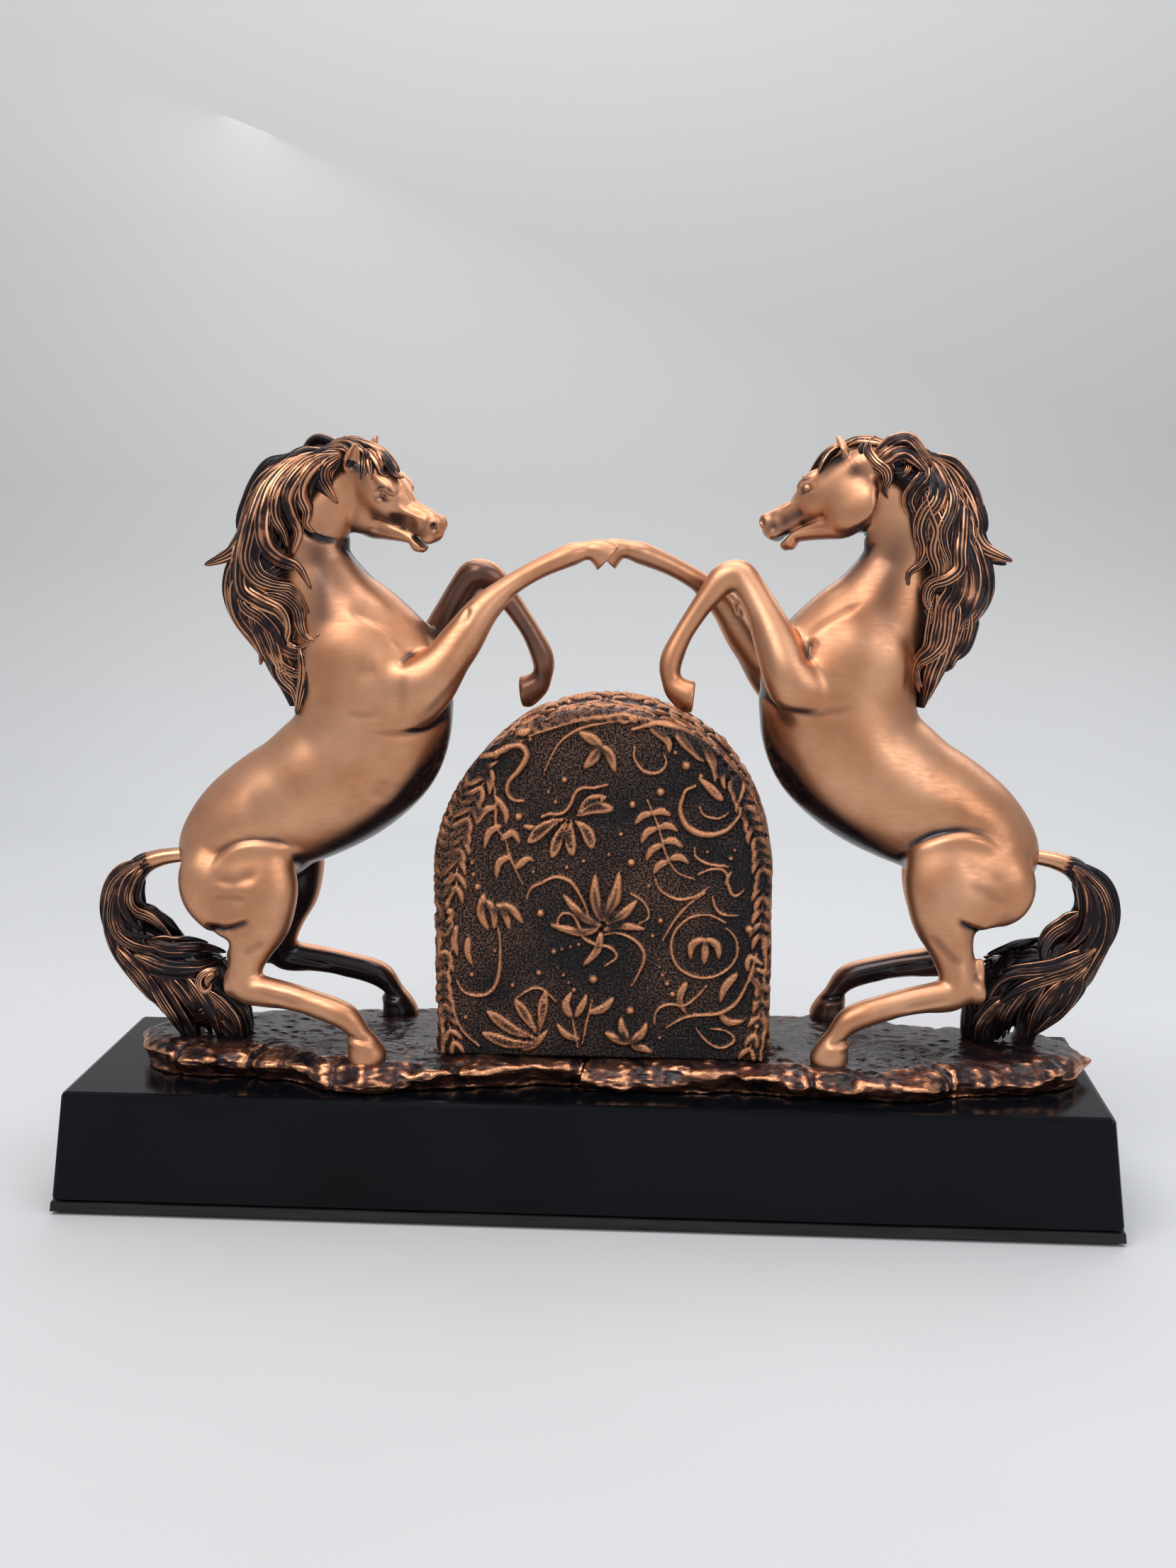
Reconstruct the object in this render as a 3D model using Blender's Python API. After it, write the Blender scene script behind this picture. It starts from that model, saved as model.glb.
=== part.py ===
"""Pair of rearing horses over a carved dome block, on rocky ground and a tapered plinth.

Lengths below are in millimetres and become metres in mesh_object(). The row frame has its origin at
the centre of the plinth's underside, +X to the right along the plinth and +Z up. The sculpture group
has its own vertical axis, on which one horse is the other one turned by half a turn.
"""

import math

import bmesh
import bpy
from mathutils import Matrix, Vector

MM = 0.001
GAP = 0.3  # clearance between neighbouring pieces
SOCKET_GAP = 0.8  # extra size of a loft that cuts the socket of a casting
GROUP_CENTRE = (8.4, -1.4)  # where the sculpture's axis stands on the plinth

PLINTH_BOTTOM = (450.0, 120.5)
PLINTH_TOP = (439.2, 109.7)
PLINTH_HEIGHT = 52.6
PLINTH_WALL = 6.0
PLINTH_EDGE = 2.0
FELT_THICKNESS = 1.2
FELT_INSET = 3.0
BOARD_THICKNESS = 4.0
POST_SIZE = 16.0
POST_PLACE = (204.0, 43.0)

GROUND_TOP = 66.0
GROUND_SPLIT_SLOPE = 0.22  # the joint between the castings runs slightly askew
GROUND_SCREW_PLACES = ((-150.0, 2.0), (-92.0, 12.0))

ARCH_HALF_WIDTH = 69.5
ARCH_HALF_DEPTH = 30.5
ARCH_HEIGHT = 148.0
ARCH_WALL = 6.0
ARCH_BOSS = (40.0, 18.0, 20.0)  # place along X, width, height
ARCH_ARC_STEPS = 22

SCREW_RADIUS = 2.0
SCREW_HEAD_RADIUS = 4.0
SCREW_HEAD_HEIGHT = 2.6
WASHER_RADIUS = 6.0
WASHER_THICKNESS = 1.2
GROUND_SCREW_LENGTH = 15.0
ARCH_SCREW_LENGTH = 34.0
BOARD_SCREW_LENGTH = 16.0
STUD_RADIUS = 1.4
STUD_LENGTH = 14.0
TAIL_PIN_REACH = 4.5

MID_Y = -7.0  # the horse's own middle plane, off the group's axis
BELOW_GROUND = 40.0

LEFT_HIND_FORWARD = 3.0
LEFT_HIND_OUTWARD = 4.0

# Stations of a loft: x, y, z of the centre, half depth in the XZ plane, half width across it.
TORSO = (
    (-181.0, MID_Y, 147.0, 10.0, 10.0),
    (-174.5, MID_Y, 149.0, 20.0, 18.0),
    (-165.5, MID_Y, 152.5, 26.0, 23.0),
    (-154.0, MID_Y, 158.0, 28.5, 25.0),
    (-141.0, MID_Y, 167.5, 27.5, 25.0),
    (-129.5, MID_Y, 173.5, 28.8, 25.5),
    (-119.5, MID_Y, 180.0, 30.5, 26.5),
    (-111.0, MID_Y, 188.0, 31.5, 26.5),
    (-104.8, MID_Y, 198.5, 31.5, 26.5),
    (-101.0, MID_Y, 211.0, 32.5, 26.0),
    (-99.7, MID_Y, 224.5, 34.0, 25.0),
    (-101.3, MID_Y, 239.0, 34.0, 23.0),
    (-107.0, MID_Y, 251.5, 32.0, 20.5),
    (-114.5, MID_Y, 263.0, 28.0, 16.5),
    (-119.0, MID_Y, 273.0, 24.0, 14.0),
    (-121.0, MID_Y, 283.0, 20.0, 12.3),
    (-119.0, MID_Y, 292.5, 17.0, 11.0),
    (-113.5, MID_Y, 301.5, 14.0, 10.0),
    (-106.0, MID_Y, 306.0, 8.0, 7.0),
)
HIND_LEG = (
    (-166.0, -13.5, 153.5, 10.0, 4.5),
    (-163.0, -17.5, 149.0, 19.0, 8.0),
    (-158.0, -22.5, 141.0, 25.5, 12.0),
    (-151.5, -25.5, 131.5, 23.5, 12.5),
    (-148.0, -27.5, 122.5, 16.0, 11.0),
    (-149.0, -29.0, 115.0, 10.8, 9.2),
    (-151.5, -30.5, 107.0, 8.2, 7.5),
    (-153.0, -32.0, 99.5, 7.2, 6.8),
    (-151.5, -33.0, 93.6, 6.8, 6.0),
    (-143.0, -34.0, 91.0, 5.4, 5.2),
    (-133.0, -35.0, 89.0, 4.8, 4.6),
    (-121.0, -36.5, 86.6, 4.6, 4.5),
    (-113.5, -37.5, 85.0, 5.2, 5.2),
    (-108.0, -38.0, 82.4, 5.4, 5.4),
    (-104.5, -38.6, 78.5, 4.9, 4.9),
    (-102.8, -39.0, 75.0, 5.8, 5.8),
    (-101.8, -39.4, 71.0, 7.4, 7.0),
    (-101.4, -39.6, GROUND_TOP + 0.5, 8.6, 8.0),
)
EXTENDED_FORELEG = (
    (-97.0, -15.5, 221.0, 10.0, 5.0),
    (-90.0, -20.0, 220.0, 14.0, 8.0),
    (-82.5, -23.5, 220.5, 15.5, 10.0),
    (-75.0, -24.5, 223.5, 13.5, 10.0),
    (-67.0, -23.5, 231.0, 10.5, 9.2),
    (-58.5, -21.0, 243.0, 8.8, 7.8),
    (-50.0, -18.5, 255.0, 6.8, 6.2),
    (-39.0, -15.0, 264.5, 4.9, 4.6),
    (-29.0, -12.0, 270.8, 4.4, 4.3),
    (-20.0, -9.8, 275.0, 4.7, 4.6),
    (-13.5, -8.2, 277.6, 4.9, 4.9),
    (-8.0, -7.2, 279.0, 3.9, 3.9),
    (-3.5, -6.6, 278.9, 5.0, 4.6),
    (-0.5, -6.2, 277.3, 6.4, 5.2),
    (2.4, -6.0, 274.6, 7.4, 5.4),
)
BENT_FORELEG = (
    (-93.5, 5.5, 209.5, 7.0, 4.5),
    (-88.0, 9.5, 214.0, 10.5, 7.5),
    (-82.5, 12.5, 220.5, 12.0, 9.5),
    (-76.5, 12.0, 229.5, 10.8, 9.8),
    (-71.5, 9.0, 241.5, 9.4, 8.5),
    (-66.0, 5.0, 253.5, 7.4, 7.2),
    (-61.0, 2.0, 262.5, 6.6, 6.4),
    (-56.0, 0.0, 268.5, 6.6, 6.2),
    (-49.5, 0.5, 267.0, 6.4, 5.9),
    (-44.0, 1.5, 260.0, 5.2, 5.0),
    (-38.8, 2.5, 252.0, 4.4, 4.3),
    (-34.2, 3.5, 243.5, 4.2, 4.2),
    (-30.6, 4.6, 235.0, 4.7, 4.6),
    (-29.4, 5.4, 229.5, 4.7, 4.6),
    (-30.8, 6.0, 225.0, 4.2, 4.2),
    (-34.4, 6.4, 221.9, 5.8, 5.2),
    (-39.6, 6.8, 220.3, 7.2, 6.2),
)
MANE = (
    (-106.0, MID_Y, 321.0, 4.0, 7.0),
    (-114.0, MID_Y, 321.5, 7.0, 12.0),
    (-125.0, MID_Y, 317.5, 10.5, 15.5),
    (-134.5, MID_Y, 308.5, 13.5, 18.0),
    (-140.5, MID_Y, 296.5, 14.8, 19.5),
    (-143.0, MID_Y, 283.0, 15.0, 20.0),
    (-144.5, MID_Y, 268.0, 15.0, 20.0),
    (-143.0, MID_Y, 254.0, 14.5, 19.5),
    (-140.0, MID_Y, 241.0, 12.8, 17.0),
    (-137.5, MID_Y, 228.0, 10.0, 13.0),
    (-136.0, MID_Y, 216.0, 6.5, 8.0),
    (-135.5, MID_Y, 207.0, 2.5, 3.5),
)
TAIL = (
    (-178.0, -11.0, 147.5, 3.4, 3.4),
    (-187.0, -11.0, 146.8, 4.0, 4.0),
    (-195.0, -10.5, 144.2, 4.3, 4.6),
    (-203.5, -10.0, 139.3, 5.2, 5.6),
    (-209.5, -9.5, 131.5, 6.6, 7.0),
    (-211.5, -9.0, 122.0, 7.8, 8.4),
    (-209.0, -9.0, 111.0, 10.2, 9.8),
    (-202.0, -9.0, 99.5, 12.6, 11.0),
    (-192.5, -9.0, 90.0, 13.6, 12.0),
    (-181.0, -9.0, 81.0, 14.0, 12.5),
    (-170.0, -9.0, 73.5, 11.0, 12.0),
    (-160.0, -9.0, 68.5, 5.0, 8.0),
)
# Stations in the head's own axes: along the nose, dorsal offset, half depth, half width.
HEAD = (
    (-7.0, -4.0, 7.0, 6.5),
    (-2.0, -4.0, 10.5, 8.8),
    (5.0, -4.4, 12.6, 9.8),
    (12.0, -4.6, 12.8, 10.2),
    (18.0, -3.6, 11.6, 9.5),
    (24.0, -1.8, 9.6, 8.0),
    (30.0, -0.4, 7.9, 6.6),
    (36.0, 0.0, 7.2, 6.0),
    (42.0, 0.0, 7.2, 6.2),
    (46.0, 0.2, 6.0, 5.4),
    (48.5, 0.4, 3.4, 3.4),
)
HEAD_ORIGIN = Vector((-105.0, -7.0, 314.0))
HEAD_NOSE = Vector((0.70, -0.25, -0.667)).normalized()
HEAD_LEFT = Vector((0.48, 0.86, 0.18)).normalized()
EAR_SPREAD = 6.5
EAR_HEIGHT = 20.0
FORELOCK = (
    (-4.0, 11.5, 2.5, 4.0),
    (1.0, 12.0, 4.0, 6.0),
    (7.0, 11.0, 4.0, 6.2),
    (13.0, 9.5, 3.2, 4.6),
    (17.5, 8.0, 2.0, 2.4),
)
# Outline of the left ground casting: x, front edge, back edge. The right one is it turned round.
GROUND_EDGES = (
    (-203.5, -4.0, 6.0),
    (-199.5, -20.0, 18.0),
    (-190.0, -28.0, 26.0),
    (-172.0, -30.0, 31.0),
    (-151.0, -31.0, 37.0),
    (-134.0, -36.0, 38.0),
    (-118.0, -44.0, 40.5),
    (-96.0, -46.5, 41.5),
    (-74.0, -43.0, 40.0),
    (-54.0, -38.0, 37.5),
    (-32.0, -36.0, 36.0),
    (-12.0, -35.0, 35.0),
)
ROUND_SEGMENTS = 12
LEG_SEGMENTS = 12
BODY_SEGMENTS = 18

PALETTE = {
    "bronze": ((0.62, 0.30, 0.16, 1.0), 0.34, 1.0),
    "patina": ((0.20, 0.08, 0.05, 1.0), 0.38, 0.9),
    "ground": ((0.17, 0.07, 0.05, 1.0), 0.25, 0.8),
    "block": ((0.24, 0.14, 0.09, 1.0), 0.45, 0.8),
    "lacquer": ((0.006, 0.008, 0.010, 1.0), 0.12, 0.0),
    "board": ((0.05, 0.04, 0.035, 1.0), 0.70, 0.0),
    "felt": ((0.015, 0.015, 0.016, 1.0), 0.95, 0.0),
    "steel": ((0.60, 0.60, 0.58, 1.0), 0.35, 1.0),
}


def clear_scene():
    for obj in list(bpy.data.objects):
        bpy.data.objects.remove(obj, do_unlink=True)


def material(name):
    found = bpy.data.materials.get(name)
    if found:
        return found
    colour, roughness, metallic = PALETTE[name]
    made = bpy.data.materials.new(name)
    made.use_nodes = True
    shader = made.node_tree.nodes["Principled BSDF"]
    shader.inputs["Base Color"].default_value = colour
    shader.inputs["Roughness"].default_value = roughness
    shader.inputs["Metallic"].default_value = metallic
    return made


def mesh_object(name, bm, material_name=None, parent=None):
    """Object from a bmesh in millimetres. Without a material it is a helper, hidden in renders."""
    bmesh.ops.scale(bm, vec=(MM, MM, MM), verts=bm.verts)
    bmesh.ops.recalc_face_normals(bm, faces=bm.faces)
    mesh = bpy.data.meshes.new(name)
    bm.to_mesh(mesh)
    bm.free()
    obj = bpy.data.objects.new(name, mesh)
    bpy.context.scene.collection.objects.link(obj)
    obj.parent = parent
    if material_name:
        mesh.materials.append(material(material_name))
    else:
        obj.hide_render = True
        obj.display_type = "WIRE"
    return obj


def empty(name, place=(0.0, 0.0), turn=0.0):
    obj = bpy.data.objects.new(name, None)
    bpy.context.scene.collection.objects.link(obj)
    obj.location = (place[0] * MM, place[1] * MM, 0.0)
    obj.rotation_euler = (0.0, 0.0, turn)
    return obj


def combine(target, other, operation="DIFFERENCE"):
    modifier = target.modifiers.new(operation.lower(), "BOOLEAN")
    modifier.operation = operation
    modifier.object = other


def settle(obj):
    """Replaces the object's mesh by its evaluated one, so that a turned copy can share it."""
    bpy.context.view_layer.update()
    graph = bpy.context.evaluated_depsgraph_get()
    mesh = bpy.data.meshes.new_from_object(obj.evaluated_get(graph))
    obj.modifiers.clear()
    obj.data = mesh
    mesh.shade_smooth()
    mesh.set_sharp_from_angle(angle=math.radians(40.0))


def skin(bm, rings, flat_end=False, grow=0.0):
    """Joins rings of vertices into a tube whose ends close on a pole, or flat at the last one."""
    count = len(rings[0])
    for ring, following in zip(rings, rings[1:]):
        for i in range(count):
            j = (i + 1) % count
            bm.faces.new((ring[i], ring[j], following[j], following[i]))
    for index, ring in ((0, rings[0]), (-1, rings[-1])):
        if flat_end and index == -1:
            bm.faces.new(ring)
            continue
        inner = rings[1] if index == 0 else rings[-2]
        centre = sum((v.co for v in ring), Vector()) / count
        outward = centre - sum((v.co for v in inner), Vector()) / count
        radius = min((v.co - centre).length for v in ring)
        pole = bm.verts.new(centre + outward.normalized() * (radius * 0.45 + grow))
        for i in range(count):
            bm.faces.new((ring[i], ring[(i + 1) % count], pole))


def section(bm, centre, side_a, side_b, radius_a, radius_b, segments):
    turns = [2.0 * math.pi * i / segments for i in range(segments)]
    return [
        bm.verts.new(centre + side_a * radius_a * math.cos(t) + side_b * radius_b * math.sin(t))
        for t in turns
    ]


def loft(stations, segments, grow=0.0, flat_end=False):
    """Elliptical sections square to a spine that runs mostly in the XZ plane."""
    bm = bmesh.new()
    centres = [Vector(s[:3]) for s in stations]
    rings = []
    for i, station in enumerate(stations):
        ahead = centres[min(i + 1, len(centres) - 1)] - centres[max(i - 1, 0)]
        if flat_end and i == len(stations) - 1:
            ahead = centres[i] - centres[i - 1]
        tangent = ahead.normalized()
        across = (Vector((0, 1, 0)) - tangent * tangent.y).normalized()
        depth = across.cross(tangent)
        radii = station[3] + grow, station[4] + grow
        rings.append(section(bm, centres[i], depth, across, *radii, segments))
    if flat_end and abs(ahead.normalized().z) > 0.9:
        for vertex in rings[-1]:
            vertex.co.z = centres[-1].z - grow
    skin(bm, rings, flat_end, grow)
    return bm


def head_axes():
    nose = (HEAD_NOSE - HEAD_LEFT * HEAD_NOSE.dot(HEAD_LEFT)).normalized()
    return nose, HEAD_LEFT, nose.cross(HEAD_LEFT)


def head_loft(stations, segments, grow=0.0):
    nose, left, dorsal = head_axes()
    bm = bmesh.new()
    rings = []
    for along, offset, depth, width in stations:
        centre = HEAD_ORIGIN + nose * along + dorsal * offset
        rings.append(section(bm, centre, dorsal, left, depth + grow, width + grow, segments))
    skin(bm, rings, grow=grow)
    return bm


def ear(side, grow=0.0):
    nose, left, dorsal = head_axes()
    bm = bmesh.new()
    rings = []
    for t, width in ((0.0, 3.4), (0.35, 3.6), (0.7, 2.5), (0.95, 0.8)):
        centre = HEAD_ORIGIN + left * side * EAR_SPREAD + dorsal * (2.0 + EAR_HEIGHT * t * 0.8)
        centre -= nose * (1.0 + 2.0 * t)
        rings.append(section(bm, centre, nose, left, width * 0.7 + grow, width + grow, 8))
    skin(bm, rings, grow=grow)
    return bm


def left_hind_leg():
    """The hind leg on the other side of the middle plane, a little forward and wider apart."""
    last = len(HIND_LEG) - 1
    return tuple(
        (x + LEFT_HIND_FORWARD, 2.0 * MID_Y - y + LEFT_HIND_OUTWARD * i / last, z, a, b)
        for i, (x, y, z, a, b) in enumerate(HIND_LEG)
    )


def rod(start, end, radius, segments=ROUND_SEGMENTS):
    bm = bmesh.new()
    axis = Vector(end) - Vector(start)
    turn = axis.to_track_quat("Z", "Y").to_matrix().to_4x4()
    place = Matrix.Translation((Vector(start) + Vector(end)) / 2.0) @ turn
    bmesh.ops.create_cone(
        bm,
        cap_ends=True,
        segments=segments,
        radius1=radius,
        radius2=radius,
        depth=axis.length,
        matrix=place,
    )
    return bm


def block(low, high):
    bm = bmesh.new()
    size = Vector(high) - Vector(low)
    place = Matrix.Translation((Vector(high) + Vector(low)) / 2.0)
    bmesh.ops.create_cube(bm, size=1.0, matrix=place @ Matrix.Diagonal((*size, 1.0)))
    return bm


def turned(profile, segments=ROUND_SEGMENTS):
    """Solid of revolution about Z from (radius, z) points that start and end on the axis."""
    bm = bmesh.new()
    points = [bm.verts.new((radius, 0.0, z)) for radius, z in profile]
    for first, second in zip(points, points[1:]):
        bm.edges.new((first, second))
    bmesh.ops.spin(
        bm,
        geom=bm.verts[:] + bm.edges[:],
        cent=(0, 0, 0),
        axis=(0, 0, 1),
        angle=2.0 * math.pi,
        steps=segments,
        use_merge=True,
    )
    bmesh.ops.remove_doubles(bm, verts=bm.verts, dist=1e-4)
    return bm


def frustum(low_size, high_size, low_z, high_z):
    bm = bmesh.new()
    rings = []
    for (length, width), z in ((low_size, low_z), (high_size, high_z)):
        corners = ((-1, -1), (1, -1), (1, 1), (-1, 1))
        rings.append([bm.verts.new((sx * length / 2, sy * width / 2, z)) for sx, sy in corners])
    bm.faces.new(rings[0])
    bm.faces.new(rings[1])
    for i in range(4):
        j = (i + 1) % 4
        bm.faces.new((rings[0][i], rings[0][j], rings[1][j], rings[1][i]))
    return bm


def plinth_size(z, inset=0.0):
    """Length and width of the tapered plinth at a height, less an inset on each side."""
    t = z / PLINTH_HEIGHT
    return tuple(low + (high - low) * t - 2.0 * inset for low, high in zip(PLINTH_BOTTOM, PLINTH_TOP))


BOARD_LOW = FELT_THICKNESS + GAP
BOARD_HIGH = BOARD_LOW + BOARD_THICKNESS
SHELL_LOW = BOARD_HIGH + GAP
SHELL_ROOF = PLINTH_HEIGHT - PLINTH_WALL
GROUND_LOW = PLINTH_HEIGHT + GAP
ARCH_LOW = GROUND_TOP + GAP
ARCH_SPRING = ARCH_LOW + ARCH_HEIGHT - ARCH_HALF_WIDTH


def soften(obj, width):
    modifier = obj.modifiers.new("bevel", "BEVEL")
    modifier.width = width * MM
    modifier.segments = 2
    modifier.limit_method = "ANGLE"
    modifier.angle_limit = math.radians(40.0)


def plinth(group):
    felt_size = plinth_size(0.0, FELT_INSET)
    mesh_object("felt_pad", frustum(felt_size, felt_size, 0.0, FELT_THICKNESS), "felt")
    board = frustum(plinth_size(BOARD_LOW), plinth_size(BOARD_HIGH), BOARD_LOW, BOARD_HIGH)
    board = mesh_object("plinth_base_board", board, "board")
    shell = frustum(plinth_size(SHELL_LOW), plinth_size(PLINTH_HEIGHT), SHELL_LOW, PLINTH_HEIGHT)
    shell = mesh_object("plinth_shell", shell, "lacquer")
    soften(shell, PLINTH_EDGE)
    hollow_low = SHELL_LOW - 2.0
    hollow_sizes = plinth_size(hollow_low, PLINTH_WALL), plinth_size(SHELL_ROOF, PLINTH_WALL)
    hollow = mesh_object("plinth_hollow", frustum(*hollow_sizes, hollow_low, SHELL_ROOF))
    for i, (sx, sy) in enumerate(((-1, -1), (1, -1), (1, 1), (-1, 1)), 1):
        x, y = sx * POST_PLACE[0], sy * POST_PLACE[1]
        half = POST_SIZE / 2.0
        outer = x + sx * 2 * half, y + sy * 2 * half
        low = min(x - sx * half, outer[0]), min(y - sy * half, outer[1]), hollow_low - 1.0
        high = max(x - sx * half, outer[0]), max(y - sy * half, outer[1]), SHELL_ROOF + 1.0
        combine(hollow, mesh_object(f"post_space_{i}", block(low, high)))
        screw = board_screw(f"base_board_screw_{i}")
        screw.location = (x * MM, y * MM, BOARD_LOW * MM)
        bore = mesh_object(f"board_bore_{i}", turned(countersunk(GAP, -1.0)))
        bore.location = screw.location
        combine(board, bore)
        combine(shell, bore)
    combine(shell, hollow)
    for place in screw_places():
        bore = rod((*place, SHELL_ROOF - 2.0), (*place, PLINTH_HEIGHT + 2.0), SCREW_RADIUS + GAP)
        combine(shell, mesh_object("plinth_bore", bore, parent=group))


def screw_places():
    """Places of the screws under the grounds and the block, in the group's own axes."""
    ground = list(GROUND_SCREW_PLACES) + [(-x, -y) for x, y in GROUND_SCREW_PLACES]
    return ground + [(-ARCH_BOSS[0], 0.0), (ARCH_BOSS[0], 0.0)]


def countersunk(grow=0.0, low=0.0):
    """Profile of a countersunk screw, head down, or of the space that it needs."""
    head, shank = SCREW_HEAD_RADIUS + grow, SCREW_RADIUS + grow
    return (
        (0.0, low),
        (head, low),
        (head, 0.3),
        (shank, 0.3 + head - shank),
        (shank, BOARD_SCREW_LENGTH - 2.0),
        (0.0, BOARD_SCREW_LENGTH + grow),
    )


def hex_socket(obj, depth):
    recess = rod((0, 0, -1.0), (0, 0, depth), SCREW_RADIUS * 0.75, 6)
    recess = mesh_object(obj.name + "_socket", recess, parent=obj)
    combine(obj, recess)


def board_screw(name):
    screw = mesh_object(name, turned(countersunk()), "steel")
    hex_socket(screw, 1.4)
    return screw


def pan_screw(name, place, length, parent):
    """Pan-head screw and its washer, pulled up against the roof of the plinth."""
    washer_low = SHELL_ROOF - GAP - WASHER_THICKNESS
    head_low = washer_low - GAP - SCREW_HEAD_HEIGHT
    profile = (
        (0.0, 0.0),
        (SCREW_HEAD_RADIUS * 0.8, 0.0),
        (SCREW_HEAD_RADIUS, SCREW_HEAD_HEIGHT * 0.4),
        (SCREW_HEAD_RADIUS, SCREW_HEAD_HEIGHT),
        (SCREW_RADIUS, SCREW_HEAD_HEIGHT),
        (SCREW_RADIUS, SCREW_HEAD_HEIGHT + length - 2.0),
        (0.0, SCREW_HEAD_HEIGHT + length),
    )
    screw = mesh_object(f"{name}_screw", turned(profile), "steel", parent)
    screw.location = (place[0] * MM, place[1] * MM, head_low * MM)
    hex_socket(screw, 1.6)
    ends = (*place, washer_low), (*place, washer_low + WASHER_THICKNESS)
    washer = mesh_object(f"{name}_washer", rod(*ends, WASHER_RADIUS, 16), "steel", parent)
    ends = (*place, washer_low - 1.0), (*place, SHELL_ROOF + 1.0)
    combine(washer, mesh_object(f"{name}_washer_hole", rod(*ends, SCREW_RADIUS + GAP), parent=parent))
    tip = head_low + SCREW_HEAD_HEIGHT + length
    bore = rod((*place, SHELL_ROOF), (*place, tip + 1.0), SCREW_RADIUS + GAP)
    return mesh_object(f"{name}_bore", bore, parent=parent)


def ground(name, parent):
    """Rocky slab: ledges step in towards the top, and the top is slightly uneven."""
    bm = bmesh.new()
    split_front = GROUND_EDGES[-1][1] * GROUND_SPLIT_SLOPE - GAP / 2.0
    split_back = GROUND_EDGES[-1][2] * GROUND_SPLIT_SLOPE - GAP / 2.0
    front = [Vector((x, y, 0.0)) for x, y, _ in GROUND_EDGES[:-1]]
    back = [Vector((x, y, 0.0)) for x, _, y in GROUND_EDGES[:-1]]
    front.append(Vector((split_front, GROUND_EDGES[-1][1], 0.0)))
    back.append(Vector((split_back, GROUND_EDGES[-1][2], 0.0)))
    outline = front + back[::-1]
    split = {len(front) - 1, len(front)}
    middle = Vector((-105.0, 0.0, 0.0))
    levels = ((GROUND_LOW, 0.94), (57.0, 0.985), (60.5, 1.0), (63.0, 0.975), (GROUND_TOP, 0.93))
    rings = []
    for level, (z, scale) in enumerate(levels):
        ring = []
        for i, point in enumerate(outline):
            wave = 0.012 * math.sin(2.3 * i + 1.9 * level)
            place = middle + (point - middle) * (scale + wave)
            if i in split:
                place.x = place.y * GROUND_SPLIT_SLOPE - GAP / 2.0
            ring.append(bm.verts.new((place.x, place.y, z)))
        rings.append(ring)
    for ring, following in zip(rings, rings[1:]):
        for i in range(len(ring)):
            j = (i + 1) % len(ring)
            bm.faces.new((ring[i], ring[j], following[j], following[i]))
    bm.faces.new(rings[0])
    bm.faces.new(rings[-1])
    return mesh_object(name, bm, "ground", parent)


def arch_prism(half_width, half_depth, low, spring, steps):
    """Upright block with a round top, as a loft between its front and back faces."""
    bm = bmesh.new()
    turns = [math.pi * i / steps for i in range(steps + 1)]
    profile = [(half_width, low)]
    profile += [(half_width * math.cos(t), spring + half_width * math.sin(t)) for t in turns]
    profile.append((-half_width, low))
    faces = []
    for y in (-half_depth, half_depth):
        faces.append([bm.verts.new((x, y, z)) for x, z in profile])
    bm.faces.new(faces[0])
    bm.faces.new(faces[1])
    for i in range(len(profile)):
        j = (i + 1) % len(profile)
        bm.faces.new((faces[0][i], faces[0][j], faces[1][j], faces[1][i]))
    return bm


def arch(parent):
    outer = arch_prism(ARCH_HALF_WIDTH, ARCH_HALF_DEPTH, ARCH_LOW, ARCH_SPRING, ARCH_ARC_STEPS)
    casing = mesh_object("arch_casing", outer, "block", parent)
    soften(casing, 2.5)
    inner_size = ARCH_HALF_WIDTH - ARCH_WALL, ARCH_HALF_DEPTH - ARCH_WALL
    inner = arch_prism(*inner_size, ARCH_LOW - 2.0, ARCH_SPRING, ARCH_ARC_STEPS)
    hollow = mesh_object("arch_hollow", inner, parent=parent)
    place, width, height = ARCH_BOSS
    for side in (-1, 1):
        low = side * place - width / 2.0, -ARCH_HALF_DEPTH, ARCH_LOW - 3.0
        high = side * place + width / 2.0, ARCH_HALF_DEPTH, ARCH_LOW + height
        combine(hollow, mesh_object("boss_space", block(low, high), parent=parent))
    combine(casing, hollow)
    return casing


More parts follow.
